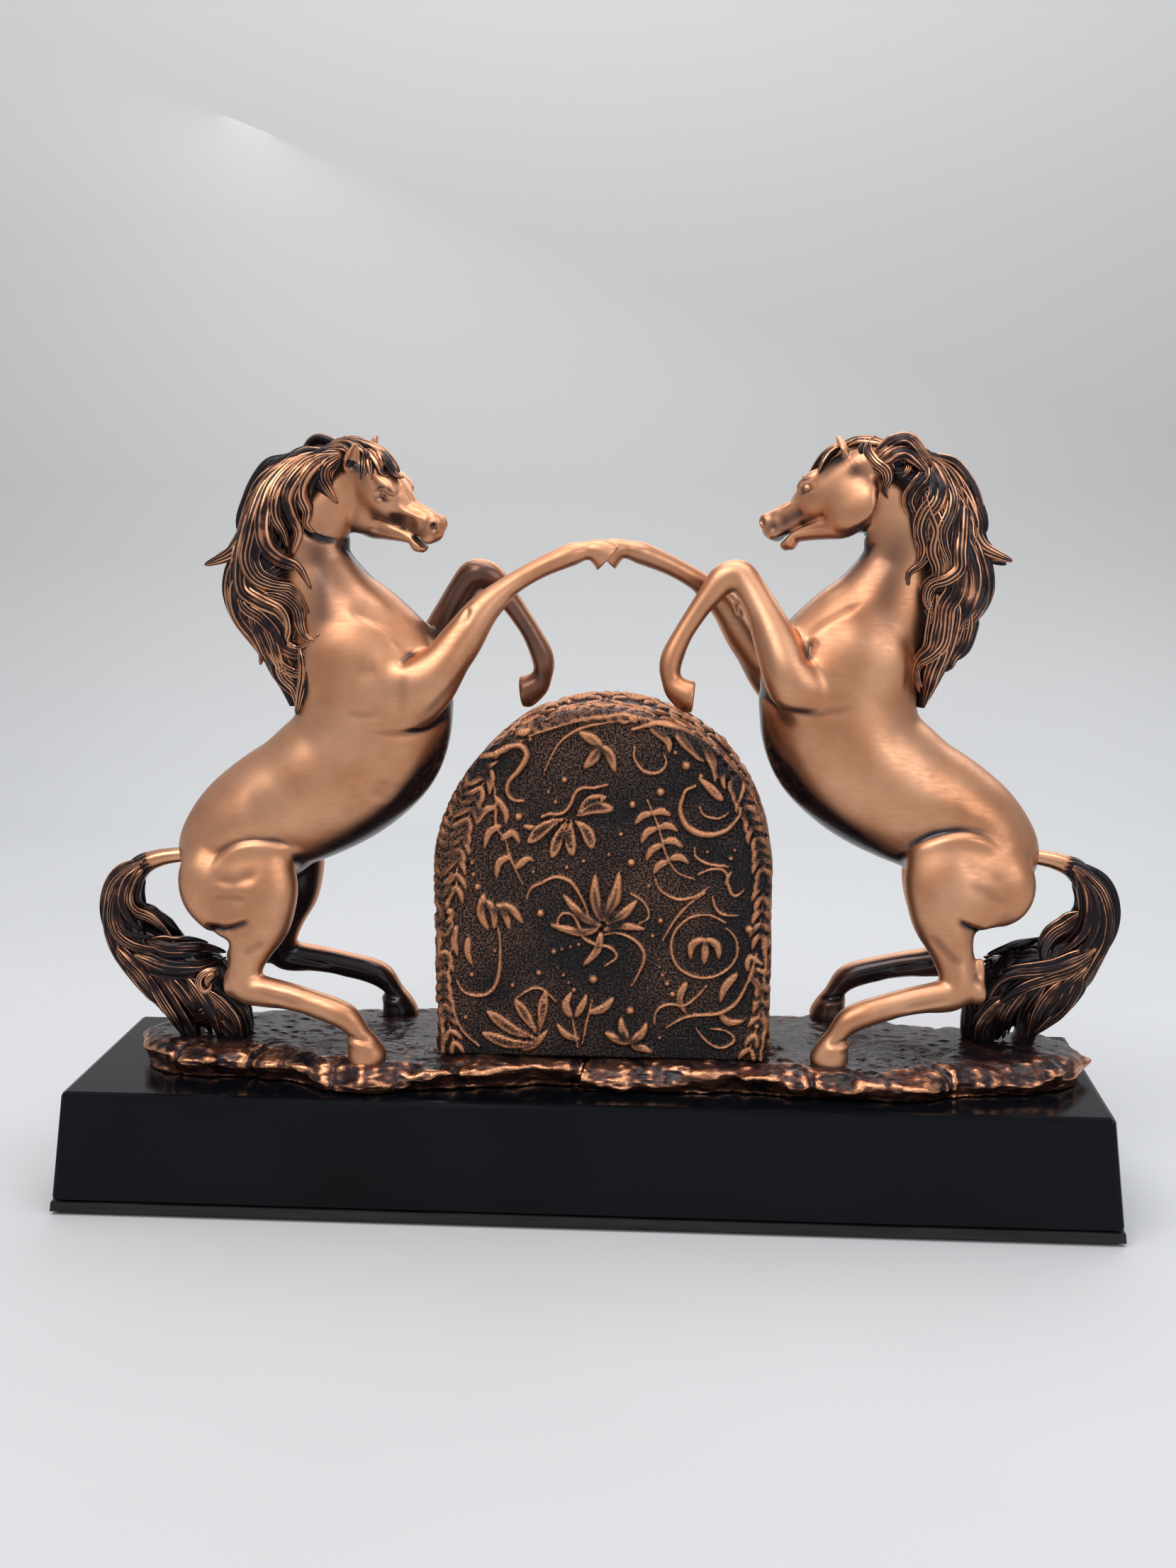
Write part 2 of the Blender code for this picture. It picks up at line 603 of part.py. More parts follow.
def horse_pieces(parent):
    """The left horse's castings and pins, with each mesh settled, ready to be shared."""
    legs = {
        "hind_leg_right": (HIND_LEG, True),
        "hind_leg_left": (left_hind_leg(), True),
        "foreleg_extended": (EXTENDED_FORELEG, True),
        "foreleg_bent": (BENT_FORELEG, True),
    }
    body = mesh_object("body", loft(TORSO, BODY_SEGMENTS), "bronze", parent)
    combine(body, mesh_object("head", head_loft(HEAD, 16), parent=parent), "UNION")
    for side in (-1, 1):
        combine(body, mesh_object(f"ear{side}", ear(side), parent=parent), "UNION")
    settle(body)
    around = [mesh_object("grown_torso", loft(TORSO, BODY_SEGMENTS, SOCKET_GAP), parent=parent)]
    around.append(mesh_object("grown_head", head_loft(HEAD, 16, SOCKET_GAP), parent=parent))
    around += [mesh_object(f"grown_ear{s}", ear(s, SOCKET_GAP), parent=parent) for s in (-1, 1)]

    mane = mesh_object("mane", loft(MANE, 14), "patina", parent)
    forelock = mesh_object("forelock", head_loft(FORELOCK, 10), "patina", parent)
    for cutter in around:
        combine(mane, cutter)
        combine(forelock, cutter)
    combine(forelock, mesh_object("grown_mane", loft(MANE, 14, SOCKET_GAP), parent=parent))

    tail = mesh_object("tail", loft(TAIL, 14), "patina", parent)
    floor = block((-300, -60, BELOW_GROUND), (0, 60, GROUND_TOP + GAP))
    combine(tail, mesh_object("tail_floor", floor, parent=parent))

    cutters = [mesh_object("grown_tail", loft(TAIL, 14, SOCKET_GAP), parent=parent)]
    made = {"body": body, "mane": mane, "forelock": forelock, "tail": tail}
    for name, (stations, flat) in legs.items():
        made[name] = mesh_object(name, loft(stations, LEG_SEGMENTS, 0.0, flat), "bronze", parent)
        grown = loft(stations, LEG_SEGMENTS, SOCKET_GAP, flat)
        cutters.append(mesh_object(f"grown_{name}", grown, parent=parent))
    for cutter in cutters:
        combine(body, cutter)
    for name, start, end, radius, pierced in pins():
        made[name] = mesh_object(name, rod(start, end, radius, 10), "steel", parent)
        axis = (Vector(end) - Vector(start)).normalized() * GAP
        bore = rod(Vector(start) - axis, Vector(end) + axis, radius + GAP, 10)
        bore = mesh_object(f"{name}_bore", bore, parent=parent)
        for other in pierced:
            combine(made[other], bore)
    for name in made:
        settle(made[name])
    return made


def hoof_places():
    return {"right": HIND_LEG[-1][:2], "left": left_hind_leg()[-1][:2]}


def pins():
    """Name, start, end, radius and the pieces that each hidden steel pin enters."""
    hip = HIND_LEG[1]
    shoulder = EXTENDED_FORELEG[1]
    tail = TAIL[0]
    found = [
        (
            "hip_rod",
            (hip[0] + LEFT_HIND_FORWARD / 2.0, hip[1], hip[2]),
            (hip[0] + LEFT_HIND_FORWARD / 2.0, 2.0 * MID_Y - hip[1], hip[2]),
            2.0,
            ("body", "hind_leg_right", "hind_leg_left"),
        ),
        (
            "shoulder_rod",
            (shoulder[0], shoulder[1], shoulder[2]),
            (shoulder[0], BENT_FORELEG[1][1], shoulder[2]),
            2.0,
            ("body", "foreleg_extended", "foreleg_bent"),
        ),
        (
            "tail_pin",
            (tail[0] + TAIL_PIN_REACH, tail[1], tail[2]),
            (tail[0] - TAIL_PIN_REACH, tail[1], tail[2]),
            1.1,
            ("body", "tail"),
        ),
    ]
    for side, (x, y) in hoof_places().items():
        low, high = GROUND_TOP - STUD_LENGTH / 2.0, GROUND_TOP + STUD_LENGTH / 2.0
        name = f"hoof_stud_{side}"
        found.append((name, (x, y, low), (x, y, high), STUD_RADIUS, (f"hind_leg_{side}",)))
    return found


def main():
    clear_scene()
    group = empty("group", GROUP_CENTRE)
    turned_group = empty("turned_group", GROUP_CENTRE, math.pi)
    plinth(group)
    casing = arch(group)
    for side, axes in (("left", group), ("right", turned_group)):
        slab = ground(f"ground_{side}", axes)
        for i, place in enumerate(GROUND_SCREW_PLACES, 1):
            bore = pan_screw(f"ground_{side}_{i}", place, GROUND_SCREW_LENGTH, axes)
            combine(slab, bore)
        for stud, (x, y) in hoof_places().items():
            low = GROUND_TOP - STUD_LENGTH / 2.0 - GAP
            bore = rod((x, y, low), (x, y, GROUND_TOP + 5.0), STUD_RADIUS + GAP, 10)
            combine(slab, mesh_object(f"stud_bore_{side}_{stud}", bore, parent=axes))
        bore = pan_screw(f"arch_{side}", (-ARCH_BOSS[0], 0.0), ARCH_SCREW_LENGTH, axes)
        combine(slab, bore)
        combine(casing, bore)
    pieces = horse_pieces(group)
    for name, piece in pieces.items():
        piece.name = f"left_{name}"
        copy = bpy.data.objects.new(f"right_{name}", piece.data)
        bpy.context.scene.collection.objects.link(copy)
        copy.parent = turned_group


main()
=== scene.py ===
"""Looks of the statue: two rearing horses either side of a carved block, on a black plinth."""

import math

import bpy
import numpy as np
import openvdb
from mathutils import Matrix, Vector


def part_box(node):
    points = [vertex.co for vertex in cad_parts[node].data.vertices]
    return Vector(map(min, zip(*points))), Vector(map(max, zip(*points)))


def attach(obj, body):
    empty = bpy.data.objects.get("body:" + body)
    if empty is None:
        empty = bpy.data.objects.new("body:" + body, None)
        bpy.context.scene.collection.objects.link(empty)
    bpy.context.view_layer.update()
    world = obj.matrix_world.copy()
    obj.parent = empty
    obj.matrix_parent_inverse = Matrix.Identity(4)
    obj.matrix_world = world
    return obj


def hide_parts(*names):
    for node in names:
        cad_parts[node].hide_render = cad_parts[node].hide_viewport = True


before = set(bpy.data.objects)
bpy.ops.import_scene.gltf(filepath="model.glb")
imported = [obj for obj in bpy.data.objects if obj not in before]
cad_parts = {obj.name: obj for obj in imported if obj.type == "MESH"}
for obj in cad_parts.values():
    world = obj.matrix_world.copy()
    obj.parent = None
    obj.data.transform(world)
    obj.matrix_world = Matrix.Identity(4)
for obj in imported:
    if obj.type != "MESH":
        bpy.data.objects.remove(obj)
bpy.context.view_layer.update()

MM = 0.001
GROUP_X, GROUP_Y = 8.4, -1.4
MID_Y = -7.0
FAR = 40.0
SMALL = 1e-6
SIDE_SOFTNESS = 3.0
FOLD_EDGE = 0.55
RIGHT, LEFT, BOTH = -1, 1, 0

# Stations of the horse, in mm from the group's axis: x, y, z, half depth in the side view, half width.
TORSO = (
    (-172.5, -7, 146.5, 10, 10), (-168, -7, 148.5, 18.6, 18), (-161.5, -7, 152.5, 23.6, 22.5),
    (-152.5, -7, 158.5, 27.2, 25), (-141, -7, 167.5, 27.5, 25), (-129.5, -7, 173.5, 28.8, 25.5),
    (-119.5, -7, 180, 30.5, 26.5), (-110, -7, 187.6, 31.8, 26.5), (-102, -7, 198, 33.4, 26.5),
    (-98.8, -7, 211, 33.6, 26), (-99.5, -7, 224.5, 33, 25), (-106, -7, 238, 28.5, 22.5),
    (-114.5, -7, 250, 24, 18.5), (-120.5, -7, 261.5, 20.5, 15.5), (-123.5, -7, 271.5, 17.5, 13),
    (-124.5, -7, 281, 16.5, 12), (-122.5, -7, 290.5, 15.5, 11), (-117, -7, 299, 13.5, 10),
    (-110.5, -7, 306, 10, 8.5), (-105, -7, 310, 7, 7),
)
HIND_LEG = (
    (-166, -13.5, 153.5, 10, 4.5), (-163, -17.5, 149, 19, 8), (-158, -22.5, 141, 25.5, 12),
    (-151.5, -25.5, 131.5, 23.5, 12.5), (-148, -27.5, 122.5, 16, 11), (-149, -29, 115, 10.8, 9.2),
    (-151.5, -30.5, 107, 8.2, 7.5), (-153, -32, 99.5, 7.4, 6.8), (-151.0, -33, 94.4, 7.3, 6.4),
    (-143, -34, 92.8, 6.7, 5.9), (-133, -35, 91.2, 6.2, 5.5), (-121, -36.5, 88.4, 5.8, 5.3),
    (-113.5, -37.5, 86.2, 5.9, 5.6), (-107.6, -37.8, 83.4, 5.7, 5.5), (-104, -37.8, 79.2, 4.8, 4.8),
    (-102.4, -37.6, 75.6, 5.2, 5.0), (-100.8, -37.3, 71.2, 6.9, 6.2), (-99.4, -37.0, 66.6, 8.4, 7.2),
)
LEFT_HIND_SHIFT, LEFT_HIND_SPREAD = 3.0, 4.0
LEFT_THIGH_LIFT = 4.5
EXTENDED_FORELEG = (
    (-97, -15.5, 221, 10, 5), (-90, -20, 220, 14, 8), (-82.5, -23.5, 220.5, 15.5, 10),
    (-75, -24.5, 223.5, 13.5, 10), (-67, -23.5, 231, 10.5, 9.2), (-58.5, -21, 243, 8.8, 7.8),
    (-50, -18.5, 255, 6.8, 6.2), (-39, -15, 264.5, 4.9, 4.6), (-29, -12, 270.8, 4.4, 4.3),
    (-20, -9.8, 275, 4.7, 4.6), (-13.5, -8.2, 277.6, 4.9, 4.9), (-8, -7.2, 279, 3.9, 3.9),
    (-3.5, -6.6, 278.9, 5, 4.6), (-0.5, -6.2, 277.3, 6.4, 5.2), (2.4, -6, 274.6, 7.4, 5.4),
)
BENT_FORELEG = (
    (-93.5, 5.5, 209.5, 7, 4.5), (-88, 9.5, 214, 10.5, 7.5), (-82.5, 12.5, 220.5, 12, 9.5),
    (-76.5, 12, 229.5, 10.8, 9.8), (-71.5, 9, 241.5, 9.4, 8.5), (-66, 5, 253.5, 7.4, 7.2),
    (-61, 2, 262.5, 6.6, 6.4), (-56, 0, 268.5, 6.6, 6.2), (-49.5, 0.5, 267, 6.4, 5.9),
    (-43.6, 1.5, 260, 5.2, 5), (-37.8, 2.5, 252, 4.5, 4.3), (-32.4, 3.5, 243.5, 4.3, 4.2),
    (-28.4, 4.6, 235, 4.9, 4.6), (-27.2, 5.4, 229.5, 4.7, 4.6), (-27.8, 6, 224.6, 4.1, 4.1),
    (-30.4, 6.4, 220.8, 5.6, 5.1), (-35.4, 6.8, 217.8, 7.2, 6.1),
)

# The head's own axes: along the nose, to the horse's left, and out of the forehead.
HEAD_ORIGIN = np.array((-105.3, -7.0, 318.7))
NOSE = np.array((0.735, -0.283, -0.617))
NOSE = NOSE / np.linalg.norm(NOSE)
HEAD_LEFT = np.array((0.48, 0.86, 0.18))
HEAD_LEFT = HEAD_LEFT - NOSE * (HEAD_LEFT @ NOSE)
HEAD_LEFT = HEAD_LEFT / np.linalg.norm(HEAD_LEFT)
DORSAL = np.cross(NOSE, HEAD_LEFT)

# Soft lines of the horse: side, depth (a ridge is negative), width, patina and painted shade (below zero a painted
# highlight), then x, z points.
STROKES = (
    # thigh and gaskin, right side
    (RIGHT, 0.7, 2.8, 0.40, (-165.2, 145.3), (-161.3, 141.3), (-155.3, 140.4), (-148.2, 143.2), (-143, 147.7)),
    (RIGHT, 0.6, 2.6, 0.36, (-167, 133.1), (-161.6, 134.8), (-154.5, 134.9), (-146.5, 133.5)),
    (RIGHT, -0.5, 3.2, -0.1, (-166, 137.6), (-158, 137.6), (-150, 138.8), (-144, 142)),
    (RIGHT, 0.6, 2.2, 0.36, (-153, 110.6), (-147, 113), (-141, 115.6)),
    (RIGHT, 0.6, 1.7, 0.40, (-157.5, 110), (-160, 105), (-161, 99), (-159, 94)),
    # thigh and gaskin, left side
    (LEFT, 0.3, 3.0, 0.34, (-170, 142), (-161, 145.5), (-154, 149.5), (-149, 153.5)),
    (LEFT, 0.3, 3.0, 0.34, (-172, 133.5), (-164, 136.5), (-157, 140), (-151, 143)),
    (LEFT, 0.7, 2.4, 0.55, (-153, 106.5), (-147, 111), (-140, 118), (-136, 122)),
    (LEFT, 0.6, 1.7, 0.45, (-164, 95.5), (-160, 99), (-155.5, 104.5)),
    # fold of the buttock over the gaskin, seen from behind
    (BOTH, 1.4, 2.4, 0.25, (-170, 118.5), (-165, 119.5), (-159, 121.5)),
    # chest, shoulder and foreleg roots
    (RIGHT, 1.0, 2.0, 0.45, (-84, 231.5), (-82, 234.5), (-78, 238.5)),
    (RIGHT, 0.4, 3.0, 0.24, (-81, 232.6), (-82, 225), (-82, 217), (-85, 209.5)),
    (RIGHT, 0.5, 4.0, 0.22, (-103, 232), (-97, 230), (-91, 231)),
    (RIGHT, 0.5, 3.0, 0.20, (-108, 214), (-100, 212), (-91, 212)),
    (RIGHT, 0.7, 2.2, 0.42, (-78, 209), (-71, 214), (-64, 221.5), (-56, 231.3), (-52, 241)),
    (RIGHT, 0.7, 1.4, 0.40, (-57.5, 249.5), (-56, 253), (-55, 256.5)),
    (RIGHT, 0.6, 1.5, 0.30, (-44, 258), (-34, 262), (-24, 266.4), (-16, 270.5)),
    (LEFT, 1.2, 2.4, 0.42, (-88, 243.6), (-85.6, 239.6), (-84.4, 232)),
    (LEFT, 0.6, 3.0, 0.34, (-108, 217), (-99, 214.2), (-90, 213.4), (-81, 214.5), (-74, 218)),
    (LEFT, 0.5, 2.4, 0.2, (-73, 221), (-68, 234), (-64, 246), (-60, 257)),
    (LEFT, 0.6, 1.4, 0.30, (-48, 258), (-43, 250), (-38.5, 242), (-36, 235)),
    # these three rows have no depth and only paint shade: along the belly and low on the front of the neck
    (LEFT, 0.0, 7.0, 0.62, (-72, 205), (-76, 190), (-84, 175), (-96, 162), (-110, 155), (-122, 152)),
    (RIGHT, 0.0, 5.0, 0.34, (-72, 205), (-76, 188), (-85, 172), (-97, 160), (-110, 154)),
    (LEFT, 0.0, 5.0, 0.22, (-100, 262), (-104, 252), (-107, 240)),
    # back, ribs and neck
    (BOTH, 0.6, 6.0, 0.10, (-136, 214), (-127, 205), (-116, 198)),
    (BOTH, 0.8, 8.0, 0.10, (-154, 170), (-142, 168.5), (-130, 165)),
    (RIGHT, 0.5, 5.0, 0.26, (-96, 175), (-93, 180), (-91, 186)),
    # the next two rows are mostly painted shade on the neck: under the mane and broadly over its side
    (BOTH, 0.3, 7.0, 0.45, (-126, 294), (-121, 280), (-118, 264), (-118, 248), (-121, 234)),
    (BOTH, 0.0, 14.0, 0.34, (-112, 300), (-112, 284), (-111, 268), (-108, 252), (-106, 240)),
    (BOTH, 0.4, 1.6, 0.25, (-113, 283), (-109.5, 280), (-106, 277)),
    # cannons, hocks and fetlocks of the hind legs
    (BOTH, 0.7, 1.4, 0.30, (-148, 95), (-138, 92.6), (-124, 89.4)),
    (BOTH, 0.5, 1.3, 0.20, (-144, 88), (-132, 86), (-120, 83.4)),
    (BOTH, 0.8, 1.2, 0.40, (-109, 76.4), (-102, 75.4), (-95, 74)),
    (BOTH, -0.5, 1.4, 0.0, (-110, 73.6), (-102, 72.8), (-93, 71.8)),
)
# Folds: side, lip, hollow, width of the lip, width of the hollow, patina and painted shade in the hollow (the lip gets
# a painted highlight), then x, z points with the lip on their right.
FOLDS = (
    (RIGHT, 0.9, 1.5, 5.0, 6.0, 0.36, (-166.4, 140), (-165.4, 146.4), (-161.6, 151.6), (-155, 155.6), (-147, 157.2),
     (-138.4, 156.4), (-131.6, 154.2), (-127.6, 150.5), (-126, 146)),
    (LEFT, 1.0, 2.0, 5.0, 7.0, 0.62, (-168, 152), (-165.6, 156.4), (-160, 160.4), (-152, 162.2), (-144, 161.6),
     (-137, 159.4), (-131, 156), (-127.4, 151.5), (-125.6, 146)),
    (RIGHT, 1.0, 2.0, 4.0, 3.6, 0.60, (-145, 127.5), (-149.3, 125.4), (-157.6, 121.9), (-164.8, 121.4), (-170, 123)),
    (LEFT, 1.0, 2.0, 4.0, 3.6, 0.60, (-147, 130), (-151, 126.6), (-156.5, 123.2), (-162, 120.6), (-167, 120)),
    (RIGHT, 0.7, 1.0, 3.4, 4.4, 0.34, (-64.5, 217), (-67, 211.6), (-71, 208), (-77, 205.8), (-85, 205.4), (-93, 206.4),
     (-101, 209.6)),
    (LEFT, 0.5, 0.7, 3.4, 4.0, 0.30, (-64, 225.5), (-67, 219.8), (-72, 216), (-79, 214.6), (-87, 213.4), (-95, 213.6)),
    (RIGHT, 0.5, 0.8, 4.0, 7.0, 0.18, (-108, 257), (-103, 252.6), (-97, 249.8), (-91, 246.8), (-85.6, 241.6), (-81, 234.6)),
    (LEFT, 0.5, 0.7, 4.0, 7.0, 0.16, (-110, 261), (-104, 256.4), (-98, 253.2), (-91, 249), (-86, 245), (-81.4, 240)),
)


def smooth_path(stations, step):
    """A curve through the stations, with a row about every step mm."""
    rows = np.array(stations, float)
    out = [rows[0]]
    for i in range(len(rows) - 1):
        a, b, c, d = rows[max(i - 1, 0)], rows[i], rows[i + 1], rows[min(i + 2, len(rows) - 1)]
        count = max(1, math.ceil(np.linalg.norm(c[:3] - b[:3]) / step))
        for t in np.arange(1, count + 1) / count:
            out.append(
                0.5 * (2 * b + (c - a) * t + (2 * a - 5 * b + 4 * c - d) * t**2 + (3 * b - a - 3 * c + d) * t**3)
            )
    return np.array(out)


def axis_of(start, stop, scale, *knots):
    """Grid lines from start to stop; each knot is a place and the spacing wanted there."""
    places, steps = np.array(knots, float).T
    lines = [start]
    while lines[-1] < stop:
        lines.append(lines[-1] + scale * np.interp(lines[-1], places, steps))
    return np.array(lines)


def soft_min(a, b, k):
    h = np.clip(0.5 + 0.5 * (b - a) / k, 0, 1)
    return b + (a - b) * h - k * h * (1 - h)


def soft_max(a, b, k):
    return -soft_min(-a, -b, k)


def segment_distance(x, y, z, start, end, lateral):
    """Distance from a tapered elliptical segment; start and end are stations."""
    along = end[:3] - start[:3]
    length = max(np.linalg.norm(along), SMALL)
    along = along / length
    side = lateral - along * (lateral @ along)
    side = side / np.linalg.norm(side)
    up = np.cross(along, side)
    px, py, pz = x - start[0], y - start[1], z - start[2]
    run = px * along[0] + py * along[1] + pz * along[2]
    t = np.clip(run / length, 0, 1)
    depth = start[3] + (end[3] - start[3]) * t
    width = start[4] + (end[4] - start[4]) * t
    over = run - t * length
    u = px * up[0] + py * up[1] + pz * up[2]
    v = px * side[0] + py * side[1] + pz * side[2]
    radius = np.sqrt(u * u + v * v + over * over) + SMALL
    scale = np.sqrt((u / depth) ** 2 + (v / width) ** 2 + (over / np.minimum(depth, width)) ** 2) + SMALL
    return radius - radius / scale


def chain_distance(points, path, lateral):
    """Distance of loose points from a chain."""
    x, y, z = points.T
    best = np.full(len(points), 1e3)
    for a, b in zip(path[:-1], path[1:]):
        best = np.minimum(best, segment_distance(x, y, z, a, b, lateral))
    return best


class Field:
    """A signed distance on a grid whose lines may be closer together in places."""

    def __init__(self, xs, ys, zs):
        self.axes = [np.asarray(a, np.float32) for a in (xs, ys, zs)]
        self.value = np.full([len(a) for a in self.axes], FAR, np.float32)

    def window(self, low, high):
        return tuple(
            slice(int(np.searchsorted(a, lo)), int(np.searchsorted(a, hi)))
            for a, lo, hi in zip(self.axes, low, high)
        )

    def coords(self, window):
        x, y, z = (a[w] for a, w in zip(self.axes, window))
        return x[:, None, None], y[None, :, None], z[None, None, :]

    def chain(self, path, blend, lateral=np.array((0.0, 1.0, 0.0)), reach=5.0):
        """Joins a chain on, with a soft corner of size blend."""
        size = path[:, 3:5].max(1)[:, None] + reach
        low, high = (path[:, :3] - size).min(0), (path[:, :3] + size).max(0)
        window = self.window(low, high)
        origin = [w.start for w in window]
        part = np.full([w.stop - w.start for w in window], FAR, np.float32)
        for a, b in zip(path[:-1], path[1:]):
            pad = max(a[3], a[4], b[3], b[4]) + reach
            inner = self.window(
                np.maximum(np.minimum(a[:3], b[:3]) - pad, low),
                np.minimum(np.maximum(a[:3], b[:3]) + pad, high),
            )
            x, y, z = self.coords(inner)
            local = tuple(slice(w.start - o, w.stop - o) for w, o in zip(inner, origin))
            part[local] = np.minimum(part[local], segment_distance(x, y, z, a, b, lateral))
        self.value[window] = soft_min(self.value[window], part, blend)

    def stroke(self, points, depth, width, side):
        """Sinks (or, below zero, raises) a soft line drawn on the side view."""
        line = np.array(points, float)
        pad = 3 * width
        low = (line[:, 0].min() - pad, self.axes[1][0] - 1, line[:, 1].min() - pad)
        high = (line[:, 0].max() + pad, self.axes[1][-1] + 1, line[:, 1].max() + pad)
        window = self.window(low, high)
        x, y, z = self.coords(window)
        mark = line_mark(x[:, 0, 0][:, None], z[0, 0, :][None, :], line, width)
        share = 1.0
        if side:
            share = 1 / (1 + np.exp(-side * (y - MID_Y) / SIDE_SOFTNESS))
        self.value[window] += (depth * mark)[:, None, :] * share

    def fold(self, row):
        """One mass lying over another along a line drawn on the side view."""
        side, lip, hollow, lip_width, hollow_width, _, *points = row
        line = smooth_path([(x, z, 0) for x, z in points], 3.0)[:, :2]
        pad = 2.4 * max(lip_width, hollow_width)
        low = (line[:, 0].min() - pad, self.axes[1][0] - 1, line[:, 1].min() - pad)
        high = (line[:, 0].max() + pad, self.axes[1][-1] + 1, line[:, 1].max() + pad)
        window = self.window(low, high)
        x, y, z = self.coords(window)
        x, z = x[:, 0, 0][:, None], z[0, 0, :][None, :]
        lips = line_mark(x, z, line, lip_width)
        hollows = line_mark(x, z, line, hollow_width)
        over = 1 / (1 + np.exp(-line_side(x, z, line) / FOLD_EDGE))
        share = 1 / (1 + np.exp(-side * (y - MID_Y) / SIDE_SOFTNESS))
        self.value[window] += (hollow * hollows * (1 - over) - lip * lips * over)[:, None, :] * share

    def blurred(self, passes):
        """The field softened by a few passes of a three-cell average along each axis."""
        out = self.value.copy()
        for _ in range(passes):
            for axis in range(3):
                move = np.moveaxis(out, axis, 0)
                mid = move[1:-1] * 0.5
                mid += 0.25 * move[:-2]
                mid += 0.25 * move[2:]
                move[1:-1] = mid
        return out

    def surface(self):
        """Vertices in mm and quads of the zero level."""
        grid = openvdb.FloatGrid(3.0)
        grid.copyFromArray(np.clip(self.value, -3.0, 3.0), (0, 0, 0), 0.0)
        points, quads = grid.convertToQuads(isovalue=0.0)
        cells = np.asarray(points, float)
        mm = np.stack([np.interp(cells[:, i], np.arange(len(a)), a) for i, a in enumerate(self.axes)], 1)
        return cells, mm, np.asarray(quads, np.int64)

    def sample(self, array, cells):
        """Trilinear values of an array at places given in cells."""
        low = np.clip(np.floor(cells).astype(int), 0, np.array(array.shape) - 2)
        part = cells - low
        total = np.zeros(len(cells))
        for corner in range(8):
            bit = np.array(((corner >> 2) & 1, (corner >> 1) & 1, corner & 1))
            weight = np.prod(np.where(bit, part, 1 - part), 1)
            at = low + bit
            total += weight * array[at[:, 0], at[:, 1], at[:, 2]]
        return total

    def normals(self, array, cells):
        out = []
        for i in range(3):
            step = np.zeros(3)
            step[i] = 0.7
            ahead, behind = cells + step, cells - step
            lines = np.arange(len(self.axes[i]))
            span = np.interp(ahead[:, i], lines, self.axes[i]) - np.interp(behind[:, i], lines, self.axes[i])
            out.append((self.sample(array, ahead) - self.sample(array, behind)) / span)
        normal = np.stack(out, 1)
        return normal / np.maximum(np.linalg.norm(normal, axis=1, keepdims=True), SMALL)


def line_mark(x, z, line, width):
    """1 on the line, falling off to nothing beside it and towards its two ends."""
    lengths = np.linalg.norm(np.diff(line, axis=0), axis=1)
    starts = np.concatenate([[0], np.cumsum(lengths)])
    best = np.full(np.broadcast(x, z).shape, 1e3)
    where = np.zeros_like(best)
    for i, (a, b) in enumerate(zip(line[:-1], line[1:])):
        direction = (b - a) / max(lengths[i], SMALL)
        run = (x - a[0]) * direction[0] + (z - a[1]) * direction[1]
        t = np.clip(run, 0, lengths[i])
        far = np.hypot(x - a[0] - t * direction[0], z - a[1] - t * direction[1])
        nearer = far < best
        best = np.where(nearer, far, best)
        where = np.where(nearer, starts[i] + t, where)
    share = where / starts[-1]
    taper = np.clip(np.minimum(share, 1 - share) * 3.2, 0, 1)
    taper = taper * taper * (3 - 2 * taper)
    return np.exp(-((best / width) ** 2)) * taper


def line_side(x, z, line):
    """Distance from the line, positive to the right of the way it is drawn."""
    best = np.full(np.broadcast(x, z).shape, 1e3)
    side = np.zeros_like(best)
    for a, b in zip(line[:-1], line[1:]):
        length = max(np.linalg.norm(b - a), SMALL)
        direction = (b - a) / length
        run = np.clip((x - a[0]) * direction[0] + (z - a[1]) * direction[1], 0, length)
        far = np.hypot(x - a[0] - run * direction[0], z - a[1] - run * direction[1])
        right = (x - a[0]) * direction[1] - (z - a[1]) * direction[0]
        nearer = far < best
        best = np.where(nearer, far, best)
        side = np.where(nearer, far * np.sign(right), side)
    return side


def build_mesh(name, points, faces, smooth=True, values=None, normals=None):
    """A mesh in metres from points in mm; faces may be lists of tuples or an array of quads."""
    mesh = bpy.data.meshes.new(name)
    mesh.from_pydata((np.asarray(points) * MM).tolist(), [], faces if isinstance(faces, list) else faces.tolist())
    if smooth:
        mesh.shade_smooth()
    for key, value in (values or {}).items():
        mesh.attributes.new(key, "FLOAT", "POINT").data.foreach_set("value", np.asarray(value, np.float32))
    if normals is not None:
        mesh.normals_split_custom_set_from_vertices(np.asarray(normals).tolist())
    return mesh


GROUP_PLACES = {
    "left": Matrix.Translation((GROUP_X * MM, GROUP_Y * MM, 0)),
    "right": Matrix.Translation((GROUP_X * MM, GROUP_Y * MM, 0)) @ Matrix.Rotation(math.pi, 4, "Z"),
}


def piece(name, mesh, material, stands_for, place=None):
    """An object of the statue: its place, finish, body and the CAD nodes it stands for."""
    obj = bpy.data.objects.new(name, mesh)
    bpy.context.scene.collection.objects.link(obj)
    if place is not None:
        obj.matrix_world = place
    if not mesh.materials:
        mesh.materials.append(material)
    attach(obj, "root")
    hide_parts(*stands_for)
    return obj


# ---------------------------------------------------------------- materials


